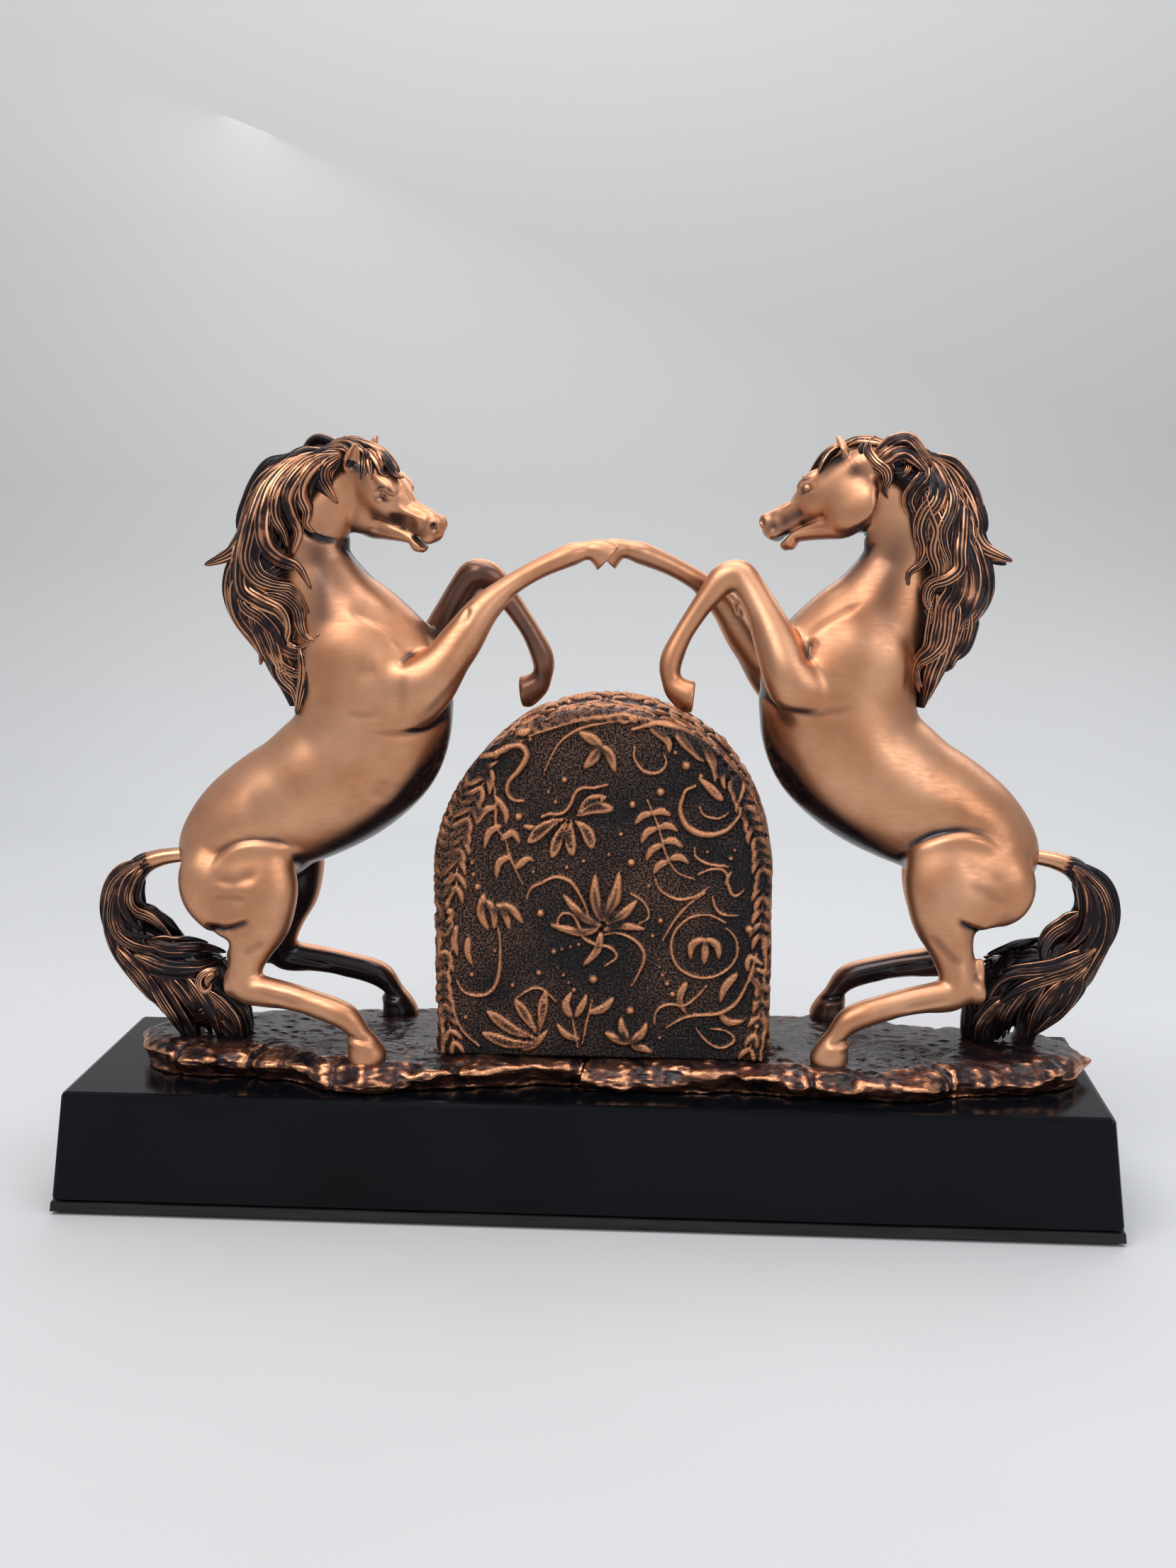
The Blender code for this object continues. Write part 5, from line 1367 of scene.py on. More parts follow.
ARCH_LOW, ARCH_HIGH = (np.array(v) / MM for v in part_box("arch_casing"))
ARCH_HALF = (ARCH_HIGH[0] - ARCH_LOW[0]) / 2
ARCH_DEPTH = (ARCH_HIGH[1] - ARCH_LOW[1]) / 2
ARCH_BASE = ARCH_LOW[2]
ARCH_SPRING = ARCH_HIGH[2] - ARCH_HALF
RELIEF_CELL = 0.45
RELIEF_GAIN = 1.3
BEADS = (
    (-29.6, 202.5, 1.1), (-23.8, 187.9, 0.9), (-23.8, 184.1, 0.9), (-22, 180.5, 1), (-19.1, 176.3, 1.1),
    (-15.4, 185.6, 1.4), (-34.6, 169.8, 1.9), (-28.6, 146.4, 1), (-64, 128.8, 2), (-25.6, 128.6, 1.8),
    (-14.4, 148.6, 1.1), (-7.5, 151.4, 1.1), (3.1, 154.3, 1), (12.5, 151.1, 1.9), (12.9, 175.5, 1.6),
    (24.5, 181.1, 2), (34.9, 192.3, 2.1), (30.4, 197.6, 1.2), (41.1, 187.9, 1.2), (19.8, 141.1, 1),
    (24.8, 126.3, 1.3), (21.6, 119.8, 1.1), (61.8, 123.4, 2.1), (-3.4, 100.4, 2), (12.3, 87, 2),
    (-26.4, 102.8, 1.4), (-37.6, 97.1, 1.2), (-57.9, 82.5, 1.2), (-55, 101.4, 1.2), (64.8, 91.5, 1.5),
    (65.6, 81.5, 1.5), (24.8, 75.4, 1), (-54, 158.8, 0.8), (-54.6, 154.6, 0.9), (-54.4, 149.9, 1.1),
    (-53.8, 144.9, 1.3), (-52.1, 139.6, 1.6), (-9.5, 115.5, 1.1), (-13, 114.4, 1), (-16.6, 113.2, 1),
    (-20.1, 112.1, 1.3), (-18.4, 105.1, 0.9), (-16, 102, 1), (-13.8, 98.8, 1), (-11.5, 95.6, 1.2),
    (24.6, 114.5, 0.8), (24.1, 109.8, 0.9), (24.5, 106.4, 1), (25.8, 102.9, 1.1), (27.8, 99.1, 1.3),
    (30.1, 94.6, 1.5), (53.8, 153.4, 1.1), (55.3, 156.9, 1), (-45, 112, 1), (8, 163, 1.2), (44, 156, 1),
)
# Raised bands: half width at start, middle and end, height, then x, z points.
BANDS = (
    (0.9, 1.8, 0.7, 2.0, (-51, 193), (-44, 196), (-38, 199.4), (-33.5, 199.8), (-31, 196), (-34, 190), (-38.4, 185),
     (-39.2, 180.5), (-37, 177.2), (-32.5, 176.6)),
    (0.5, 1.1, 0.5, 1.5, (-30, 203.8), (-18, 208), (-7.5, 211), (2, 212), (10, 212.2), (25, 209)),
    (0.4, 0.9, 0.5, 1.2, (-23.8, 188.8), (-21, 195), (-17.5, 201), (-12, 205.5), (-5, 208.4), (5, 210), (15, 210.4)),
    (0.5, 1.0, 0.4, 1.4, (13.8, 200), (13.4, 196), (15, 192.5), (17.5, 189.8), (21.3, 188.8), (24.5, 189.8),
     (26.3, 191.9), (26.6, 194.8), (25.6, 196.9)),
    (0.8, 1.7, 0.7, 1.8, (12.5, 207), (22.5, 209), (35, 205), (45, 199), (53.8, 191)),
    (0.8, 1.5, 0.6, 1.8, (46.9, 196.3), (53, 193), (56.3, 188), (57.6, 183), (56.9, 177.5)),
    (0.7, 1.9, 0.6, 1.8, (38.8, 183.8), (35, 182), (33.6, 178.8), (32.6, 175), (33.3, 171), (35.5, 167), (39, 164.6),
     (43, 163.4), (47.5, 163.8), (52, 165.6), (55, 168.8), (57, 171.8), (57.5, 175)),
    (0.4, 0.8, 0.4, 1.2, (40.6, 175), (42, 172), (45, 170.6), (49, 170.4), (52.5, 172.5)),
    (0.6, 1.1, 0.6, 1.9, (-25, 170), (-21, 171.4), (-17.5, 171.3), (-14.5, 173), (-12.5, 176.3), (-11.5, 179),
     (-10, 181.3), (-7, 182.6), (-3.8, 182.5), (2.5, 183.8)),
    (0.4, 0.7, 0.4, 1.4, (18.8, 178.1), (21.5, 172), (23.8, 166.3), (25.5, 160), (26.9, 155), (31.3, 147.5),
     (38.8, 144.4)),
    (0.5, 0.9, 0.4, 1.4, (38.8, 157.5), (39, 154.5), (41.3, 152.5), (44.5, 151), (47.5, 150.6), (53.1, 150)),
    (0.5, 0.9, 0.4, 1.4, (40, 146.3), (45, 148.6), (50, 148.8), (52.4, 146), (51.3, 142.5)),
    (0.5, 1.0, 0.4, 1.4, (53.8, 147.5), (52.6, 144), (53.1, 141.3), (54.2, 138.6), (56.3, 137.5), (59.4, 140)),
    (0.4, 0.9, 0.4, 1.4, (22.5, 144.4), (24, 140.4), (27.5, 137.5), (33, 135.6), (40, 137.5), (45, 141.3)),
    (0.4, 0.9, 0.4, 1.4, (46.3, 137.5), (48, 132), (51.3, 129.4), (57.5, 129.4)),
    (0.4, 0.8, 0.4, 1.4, (43.8, 138.8), (37, 134), (31.3, 127.5), (28, 122), (25.6, 117.5)),
    (0.5, 0.9, 0.5, 1.5, (52, 126), (45, 129.2), (37, 127.8), (31, 122), (29.4, 114.5), (32, 107), (38.5, 102.8),
     (46, 102.4), (53, 106), (56.8, 112), (56.4, 119), (52.5, 123.5)),
    (0.5, 1.2, 0.5, 1.6, (-31.3, 135), (-29.5, 139.4), (-25, 141.9), (-21, 144), (-17.5, 144.4), (-13, 142.6),
     (-10, 138.8), (-7, 133), (-5, 127.5)),
    (0.5, 1.2, 0.5, 1.6, (-17.5, 121.3), (-18.4, 125.4), (-16.3, 128.8), (-13.6, 129), (-11.3, 127.5), (-9, 123),
     (-7.5, 118.8), (-3, 116), (2.5, 115), (5.5, 113), (6.3, 110), (1.3, 106.3)),
    (0.5, 1.1, 0.4, 1.6, (1.3, 120), (6, 121), (11.3, 119.4), (15, 117), (17.5, 113.8), (18.2, 110.6), (17.5, 107.5),
     (15, 102), (12.5, 97.5)),
    (0.5, 1.2, 0.5, 1.6, (-61.3, 98.8), (-59, 94.5), (-55, 92.5), (-50, 92.6), (-46.3, 95), (-44, 99.5),
     (-43.1, 105), (-42.6, 114), (-43.5, 122)),
    (0.4, 0.8, 0.4, 1.3, (-36.3, 91.3), (-29, 96), (-23.8, 95), (-19, 90)),
    (0.4, 0.8, 0.4, 1.4, (-12.5, 83.8), (-11, 77), (-10, 70)),
    (0.4, 0.8, 0.4, 1.4, (-3.8, 91.3), (-6, 82), (-8, 72)),
    (0.5, 1.0, 0.4, 1.5, (22.5, 81.3), (22.8, 85.6), (25, 88.8), (29.5, 90.4), (35, 90), (40, 93.5), (44.4, 98.8)),
    (0.5, 1.2, 0.5, 1.6, (27.5, 80), (36.3, 85), (47.5, 86.3), (53, 88.4), (57.5, 92.5), (62, 102), (65.1, 113.1)),
    (0.4, 0.8, 0.4, 1.3, (40, 80), (45, 74), (51, 71.6), (56.3, 75), (53, 79), (46, 80)),
    (0.5, 0.9, 0.5, 1.4, (-62, 118), (-64.5, 106), (-64, 92), (-60, 78), (-52, 70)),
    (0.4, 0.8, 0.4, 1.3, (12, 138), (18, 134), (20, 128), (16, 125)),
    (0.4, 0.8, 0.4, 1.3, (-40, 160), (-44, 166), (-44, 176), (-45, 185)),
    (0.4, 0.8, 0.4, 1.3, (-40, 160), (-38, 152), (-33, 141)),
)
# Leaves and petals: half width, height, kind (0 leaf, 1 hollow petal), then x, z points of the midrib.
LEAVES = (
    (3.0, 1.7, 1, (-11.3, 170), (-3, 174), (5, 173.8)), (3.2, 1.8, 1, (-11.3, 169), (-6, 164), (-3.8, 156.9)),
    (2.9, 1.7, 1, (-12.5, 169), (-13, 161), (-12, 153.6)), (2.9, 1.7, 1, (-14, 169), (-18, 161), (-20.6, 152.5)),
    (3.2, 1.8, 1, (-15, 169.5), (-23, 166), (-30.6, 158.8)), (2.4, 1.5, 1, (-10, 172), (-5, 177), (2, 178.6)),
    (2.6, 1.6, 0, (-19, 170), (-25, 165), (-33, 166)),
    (2.9, 1.8, 0, (0, 200), (-5, 203.6), (-9.5, 205.6)), (3.0, 1.8, 0, (0, 200), (-3.4, 195), (-7.5, 190.5)),
    (2.8, 1.8, 0, (0, 200), (3.6, 196), (5.8, 189)),
    (1.9, 1.5, 0, (21, 172), (17, 171), (13.8, 167)), (1.9, 1.5, 0, (21.6, 172), (25, 173), (29, 171)),
    (2.0, 1.5, 0, (23.5, 166), (19, 164), (16.4, 159)), (2.0, 1.5, 0, (23.8, 166), (28, 167), (32, 164.4)),
    (2.0, 1.5, 0, (25.5, 159), (21, 156.6), (18.6, 151.6)), (2.0, 1.5, 0, (25.8, 160), (30, 160.6), (34, 157.6)),
    (2.0, 1.5, 0, (28, 152), (24, 150), (21.4, 146)), (2.0, 1.5, 0, (28.5, 153), (33, 153.6), (36.6, 150.8)),
    (3.2, 2.0, 0, (0, 126), (-2.6, 136), (-2.5, 146)), (3.4, 2.1, 0, (1, 126), (5.6, 136), (7.5, 147)),
    (3.0, 2.0, 0, (2, 125), (9, 129), (15, 135)), (2.8, 1.8, 0, (0, 124), (-8, 128), (-16, 137)),
    (2.4, 1.7, 0, (1, 122), (8, 124), (19, 122.6)), (2.6, 1.8, 0, (-1, 123), (-9, 121), (-22, 124)),
    (2.4, 1.7, 0, (0, 121), (-2, 113), (-8, 106)),
    (2.6, 1.8, 0, (-49.4, 136.3), (-50.6, 128), (-47.5, 120.6)), (2.4, 1.8, 0, (-48, 134), (-45, 128), (-45.4, 121)),
    (2.4, 1.8, 0, (-43.8, 132.5), (-40, 127), (-38.8, 121)), (2.4, 1.8, 0, (-42, 132.5), (-37, 129.6), (-33, 124)),
    (2.0, 1.6, 0, (-61.3, 122.5), (-62.4, 116), (-60.6, 108.8)), (2.0, 1.6, 0, (-56.3, 117.5), (-56.6, 111), (-54.4, 105)),
    (3.0, 1.7, 1, (-26.3, 72.5), (-38, 71.6), (-51, 76)), (3.0, 1.7, 1, (-27, 74), (-38, 78), (-48.8, 86)),
    (2.8, 1.7, 1, (-27, 76), (-32, 84), (-36.6, 91)), (2.6, 1.6, 1, (-26, 77), (-25, 86), (-23.8, 94.6)),
    (2.4, 1.7, 0, (-33.8, 69), (-28, 72), (-22.6, 78)),
    (2.4, 1.7, 0, (-12.5, 83.8), (-15, 89), (-12.6, 94.6)), (2.2, 1.6, 0, (-11, 84), (-8, 89), (-6, 94)),
    (2.4, 1.6, 0, (-5, 86), (1, 88), (5.6, 93)), (2.0, 1.5, 0, (-9, 74), (-15, 76), (-19, 81)),
    (2.6, 1.8, 0, (12, 73), (6, 75), (1.5, 77.4)), (2.6, 1.8, 0, (12, 73), (9, 79), (8.6, 84)),
    (2.6, 1.8, 0, (12, 73), (17, 77), (19.4, 82)), (2.4, 1.7, 0, (13, 72), (17, 71), (22, 69)),
    (2.2, 1.7, 0, (43, 119), (38, 116), (37.6, 109.6)), (2.2, 1.7, 0, (43.4, 119), (43.6, 113), (43, 107.4)),
    (2.2, 1.7, 0, (44, 119), (48.6, 116), (49.4, 110)),
    (2.6, 1.8, 0, (20, 208), (27, 203), (28, 197)), (2.6, 1.8, 0, (30, 206), (37, 199), (41, 194)),
    (2.4, 1.8, 0, (40, 202), (46, 193), (47, 185)), (2.4, 1.7, 0, (50, 178), (44, 184), (40, 187)),
    (2.0, 1.6, 0, (-42, 166), (-47, 163), (-49, 156)), (2.0, 1.6, 0, (-42, 160), (-37, 163), (-34, 158)),
    (2.0, 1.6, 0, (-44, 174), (-49, 172), (-52, 166)), (2.0, 1.6, 0, (-44, 178), (-40, 172), (-40, 166)),
    (2.0, 1.6, 0, (-38, 153), (-43, 150), (-44, 143)), (2.0, 1.6, 0, (-36, 148), (-31, 152), (-28, 151)),
    (2.2, 1.6, 0, (36, 100), (33, 93), (36, 86)), (2.2, 1.6, 0, (57, 104), (52, 98), (50, 91)),
    (2.2, 1.6, 0, (62, 104), (66, 99), (67, 93)), (2.2, 1.6, 0, (50, 87), (54, 83), (61, 84)),
)
# Garlands: leaf length, leaf half width, spacing, then x, z points.
GARLANDS = (
    (8.0, 1.55, 6.0, (-66, 118), (-67, 135), (-66.6, 148), (-64.6, 160), (-60, 174), (-53, 187), (-45, 197), (-36, 204.4)),
    (8.0, 1.6, 6.6, (-46, 190), (-52, 178), (-57, 165), (-60, 152), (-61, 140)),
    (8.0, 1.55, 6.0, (36, 204.4), (45, 197), (53, 187), (59, 176), (64, 163), (66.6, 150), (67, 138), (66.4, 122)),
    (7.0, 1.4, 6.8, (-30, 207), (-15, 212.4), (0, 213.4), (15, 212.4), (30, 207)),
    (7.0, 1.5, 7.0, (-66, 112), (-66.6, 98), (-66, 84), (-63, 72)),
    (7.0, 1.5, 7.4, (62, 112), (66.6, 100), (66.6, 86), (63, 72)),
)


class Relief:
    """A height map stamped with bands, leaves and beads, in mm."""

    def __init__(self, low, high):
        self.low = np.array(low, float)
        self.a = np.arange(low[0], high[0], RELIEF_CELL)
        self.b = np.arange(low[1], high[1], RELIEF_CELL)
        self.height = np.zeros((len(self.a), len(self.b)))

    def stamp(self, path, height, kind):
        """path rows are a, b, half width."""
        for (x0, z0, w0), (x1, z1, w1) in zip(path[:-1], path[1:]):
            pad = max(w0, w1) + RELIEF_CELL
            i0, i1 = np.searchsorted(self.a, (min(x0, x1) - pad, max(x0, x1) + pad))
            k0, k1 = np.searchsorted(self.b, (min(z0, z1) - pad, max(z0, z1) + pad))
            if i0 == i1 or k0 == k1:
                continue
            a, b = self.a[i0:i1, None], self.b[None, k0:k1]
            length = math.hypot(x1 - x0, z1 - z0) + SMALL
            t = np.clip(((a - x0) * (x1 - x0) + (b - z0) * (z1 - z0)) / length**2, 0, 1)
            far = np.hypot(a - x0 - t * (x1 - x0), b - z0 - t * (z1 - z0))
            wide = np.maximum(w0 + (w1 - w0) * t, 0.05)
            q = np.clip(far / wide, 0, 1)
            if kind == "band":
                shape = np.sqrt(1 - q * q)
            elif kind == "leaf":
                shape = (1 - q * q) ** 0.55 * (1 - 0.45 * np.exp(-((far / 0.5) ** 2)))
            else:
                rim = np.exp(-(((q - 0.74) / 0.2) ** 2))
                vein = 0.28 * np.exp(-((far / 0.4) ** 2))
                shape = (0.22 + 0.78 * rim + vein) * np.clip((1 - q) * 5, 0, 1)
            spot = self.height[i0:i1, k0:k1]
            np.maximum(spot, height * shape, out=spot)

    def band(self, row):
        start, middle, end, height = row[:4]
        path = smooth_path([(x, z, 0) for x, z in row[4:]], 1.0)
        t = np.linspace(0, 1, len(path))
        path[:, 2] = np.interp(t, (0, 0.5, 1), (start, middle, end))
        self.stamp(path, height, "band")

    def leaf(self, half, height, hollow, *points):
        path = smooth_path([(x, z, 0) for x, z in points], 0.8)
        t = np.linspace(0, 1, len(path))
        path[:, 2] = half * np.maximum(np.sin(math.pi * t ** (1.35 if hollow else 0.75)), 0.05) ** 0.85
        self.stamp(path, height, "petal" if hollow else "leaf")

    def bead(self, x, z, radius):
        self.stamp(((x, z, radius), (x + 0.01, z, radius)), radius * 0.95, "band")

    def garland(self, length, half, spacing, *points):
        path = smooth_path([(x, z, 0) for x, z in points], spacing)
        stem = path.copy()
        stem[:, 2] = 0.55
        self.stamp(stem, 1.2, "band")
        for i, (p, step) in enumerate(zip(path, np.gradient(path, axis=0))):
            heading = math.atan2(step[1], step[0])
            for turn in (0.62, -0.62):
                a = heading + turn * (1 + 0.2 * math.sin(i * 2.1))
                mid = (p[0] + 0.55 * length * math.cos(a), p[1] + 0.55 * length * math.sin(a))
                a -= turn * 0.5
                tip = (mid[0] + 0.5 * length * math.cos(a), mid[1] + 0.5 * length * math.sin(a))
                self.leaf(half, 1.7, 0, (p[0], p[1]), mid, tip)

    def at(self, a, b):
        return bilinear(self.height, (a - self.low[0]) / RELIEF_CELL, (b - self.low[1]) / RELIEF_CELL)

    def shine_at(self, a, b):
        """How rubbed the surface is: bright on crests, dark in the ground and in the grooves of the ornament."""
        soft = self.height.copy()
        for _ in range(14):
            for axis in (0, 1):
                move = np.moveaxis(soft, axis, 0)
                move[1:-1] = 0.5 * move[1:-1] + 0.25 * (move[:-2] + move[2:])
        crest = self.height - soft
        shine = rise(crest, -0.12, 0.42) * rise(self.height, 0.35, 1.0)
        return bilinear(shine, (a - self.low[0]) / RELIEF_CELL, (b - self.low[1]) / RELIEF_CELL)


def outline_point(share):
    """A point of the block's outline and its outward direction; share runs 0 to 1 round the arch from lower left."""
    straight = ARCH_SPRING - ARCH_BASE
    total = 2 * straight + math.pi * ARCH_HALF
    run = np.asarray(share, float) * total
    angle = np.clip((run - straight) / ARCH_HALF, 0, math.pi)
    x = -ARCH_HALF * np.cos(angle)
    z = ARCH_SPRING + ARCH_HALF * np.sin(angle) + np.minimum(run - straight, 0) - np.maximum(
        run - straight - math.pi * ARCH_HALF, 0
    )
    return x, z, -np.cos(angle), np.sin(angle)


def face_relief():
    relief = Relief((-ARCH_HALF - 3, ARCH_BASE - 3), (ARCH_HALF + 3, ARCH_SPRING + ARCH_HALF + 3))
    for row in GARLANDS:
        relief.garland(*row)
    for row in BANDS:
        relief.band(row)
    for row in LEAVES:
        relief.leaf(*row)
    for row in BEADS:
        relief.bead(*row)
    rng = np.random.default_rng(7)
    share = np.linspace(0, 1, 260)
    x, z, ox, oz = outline_point(share)
    inset = 1.6 + 0.5 * np.sin(share * 90) + rng.normal(0, 0.15, len(share))
    rim = np.stack([x - ox * inset, z - oz * inset, 1.3 + 0.35 * np.sin(share * 61)], 1)
    rim[:, 2] *= 0.75
    relief.stamp(rim, 1.2, "band")
    return relief


def band_relief(length):
    """The ornament of half the block's side band; the other half mirrors it."""
    relief = Relief((-2, -ARCH_DEPTH - 2), (length / 2 + 3, 3))
    centre, swing, pitch = -15.0, 8.5, 22.0
    for k in range(int(length / 2 / pitch) + 2):
        a = k * pitch
        up = 1 if k % 2 else -1
        relief.band((0.7, 1.3, 0.7, 1.6, (a - pitch / 2, centre), (a - pitch / 4, centre + up * swing * 0.8),
                     (a, centre + up * swing), (a + pitch / 4, centre + up * swing * 0.8), (a + pitch / 2, centre)))
        relief.band((1.1, 1.0, 0.5, 1.6, (a + 6, centre + up * 7), (a + 3, centre), (a - 1, centre - up * 2),
                     (a - 4.5, centre + up * 0.5), (a - 4, centre + up * 4), (a - 0.5, centre + up * 4.4)))
        for da, db, ta, tb in ((-6, 7, -11, 12), (2, 9, 6, 13.4), (7, 5, 12, 9), (-8, -2, -5, -9), (4, -4, 9, -10)):
            relief.leaf(2.1, 1.7, 0, (a + da, centre + up * db), (a + (da + ta) / 2 + 1, centre + up * (db + tb) / 2),
                        (a + ta, centre + up * tb))
        relief.bead(a + 9, centre - up * 11, 1.3)
        relief.bead(a - 3, centre - up * 9, 0.9)
    edge = np.array([(a, -ARCH_DEPTH + 3.0 + 0.5 * math.sin(a * 0.5), 1.3 + 0.3 * math.sin(a * 0.37))
                     for a in np.arange(-1, length / 2 + 2, 1.5)])
    relief.stamp(edge, 1.3, "band")
    return relief


def arch_half_mesh():
    """The front half of the block, closed at the middle plane; the back half is the same shape turned round."""
    cell = 0.62
    columns = int(2 * ARCH_HALF / cell)
    low_rows, high_rows = int((ARCH_SPRING - ARCH_BASE) / cell), int(ARCH_HALF / cell)
    u = np.linspace(-1, 1, columns + 1)
    v = np.linspace(0, 1, high_rows + 1)[1:]
    x = np.concatenate([np.broadcast_to(u * ARCH_HALF, (low_rows + 1, columns + 1)),
                        ARCH_HALF * u[None, :] * np.sqrt(1 - v[:, None] ** 2 / 2)])
    z = np.concatenate([np.broadcast_to(np.linspace(ARCH_BASE, ARCH_SPRING, low_rows + 1)[:, None],
                                        (low_rows + 1, columns + 1)),
                        ARCH_SPRING + ARCH_HALF * v[:, None] * np.sqrt(1 - u[None, :] ** 2 / 2)])
    rows = x.shape[0]
    lift = np.maximum(z - ARCH_SPRING, 0)
    out_x, out_z = x.copy(), lift
    reach = np.hypot(out_x, out_z) + SMALL
    inside = np.where(lift > 0, ARCH_HALF - reach, ARCH_HALF - np.abs(x))
    out_x = np.where(lift > 0, out_x / reach, np.sign(x))
    out_z = np.where(lift > 0, out_z / reach, 0)
    corner = 3.0
    slope = np.clip(1 - inside / corner, 0, 1)
    y = -ARCH_DEPTH + corner * (1 - np.sqrt(np.maximum(1 - slope**2, 0)))
    relief = face_relief()
    height = RELIEF_GAIN * relief.at(x.ravel(), z.ravel()).reshape(x.shape)
    tilt = slope * 0.9
    face = np.stack([x + out_x * height * tilt, y - height * np.sqrt(1 - tilt**2 * 0.6), z + out_z * height * tilt], 2)
    index = np.arange(rows * (columns + 1)).reshape(rows, columns + 1)
    edge = np.concatenate([index[:, 0], index[-1, 1:], index[::-1, -1][1:]])
    flat = face.reshape(-1, 3)
    edge_out = np.stack([out_x.ravel()[edge], out_z.ravel()[edge]], 1)
    edge_x, edge_z = x.ravel()[edge], z.ravel()[edge]
    runs = np.concatenate([[0], np.cumsum(np.hypot(np.diff(edge_x), np.diff(edge_z)))])
    length = runs[-1]
    ornament = band_relief(length)
    along = np.minimum(runs, length - runs)
    depth_rows = int((ARCH_DEPTH - corner) / cell)
    ys = np.linspace(-ARCH_DEPTH + corner, 0, depth_rows + 1)[1:]
    shine = relief.shine_at(x.ravel(), z.ravel())
    points, shines, edge_height = [flat], [shine], height.ravel()[edge]
    for k, level in enumerate(ys):
        h = RELIEF_GAIN * ornament.at(along, np.full(len(along), level))
        share = min(1.0, (k + 1) / 3)
        h = h * share + edge_height * 0.9 * (1 - share)
        points.append(np.stack([edge_x + edge_out[:, 0] * h, np.full(len(h), level), edge_z + edge_out[:, 1] * h], 1))
        shines.append(ornament.shine_at(along, np.full(len(along), level)) * share + shine[edge] * (1 - share))
    quads = np.stack([index[:-1, :-1], index[:-1, 1:], index[1:, 1:], index[1:, :-1]], 2).reshape(-1, 4)
    rings = [edge] + [len(flat) + k * len(edge) + np.arange(len(edge)) for k in range(depth_rows)]
    bands = [np.stack([near[:-1], near[1:], far[1:], far[:-1]], 1) for near, far in zip(rings[:-1], rings[1:])]
    faces = np.concatenate([quads] + bands).tolist()
    bottom = list(index[0]) + [r[-1] for r in rings[1:]] + [r[0] for r in rings[:0:-1]]
    faces.append([int(i) for i in reversed(bottom)])
    faces.append([int(i) for i in reversed(rings[-1])])
    mesh = build_mesh("arch_half", np.concatenate(points), faces, True,
                      {"relief": np.concatenate(shines)})
    mesh.polygons[len(faces) - 1].use_smooth = False
    mesh.polygons[len(faces) - 2].use_smooth = False
    return mesh


def add_block():
    mesh = arch_half_mesh()
    for name, side in (("arch_front", "left"), ("arch_back", "right")):
        piece(name, mesh, MATERIALS["block_patina"], ["arch_casing"], GROUP_PLACES[side])


add_block()


# ---------------------------------------------------------------- the rocky ground

# Left casting, from the group's axis: x, front edge y, back edge y.
GROUND_EDGES = (
    (-207, -4, 6), (-202, -20, 18), (-191, -28, 26), (-172, -30, 31), (-151, -31, 37), (-134, -36, 38),
    (-118, -44, 40.5), (-96, -46.5, 41.5), (-74, -43, 40), (-54, -38, 37.5), (-32, -36, 36), (-12, -35, 35), (10, -35, 35),
)
SPLIT_SLOPE, SPLIT_GAP = 0.22, 1.2
GROUND_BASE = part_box("ground_left")[0].z / MM
GROUND_TOP = 65.6
CLEFTS = (
    (3.0, 1.4, (-157, -42), (-151, -31), (-146, -24), (-141, -19)), (1.2, 1.6, (-114, -52), (-113, -42), (-108, -36)),
    (1.4, 1.4, (-62, -46), (-60, -38), (-52, -32)), (1.2, 1.4, (-186, -34), (-184, -26), (-176, -20)),
    (2.4, 1.4, (-150, 44), (-146, 34), (-136, 26)), (1.2, 1.4, (-90, 48), (-88, 38), (-80, 30)),
)


class Noise:
    """Smooth value noise on a wrapping lattice."""

    def __init__(self, seed, size=24):
        self.size = size
        self.lattice = np.random.default_rng(seed).uniform(-1, 1, (size, size, size)).astype(np.float32)

    def at(self, x, y, z, scale):
        total = 0.0
        cells, parts = [], []
        for c in (x, y, z):
            c = np.asarray(c, np.float32) / scale
            low = np.floor(c)
            f = c - low
            cells.append(low.astype(int))
            parts.append(f * f * (3 - 2 * f))
        for corner in range(8):
            bits = ((corner >> 2) & 1, (corner >> 1) & 1, corner & 1)
            weight = 1.0
            for part, bit in zip(parts, bits):
                weight = weight * (part if bit else 1 - part)
            i, j, k = ((cell + bit) % self.size for cell, bit in zip(cells, bits))
            total = total + weight * self.lattice[i, j, k]
        return total


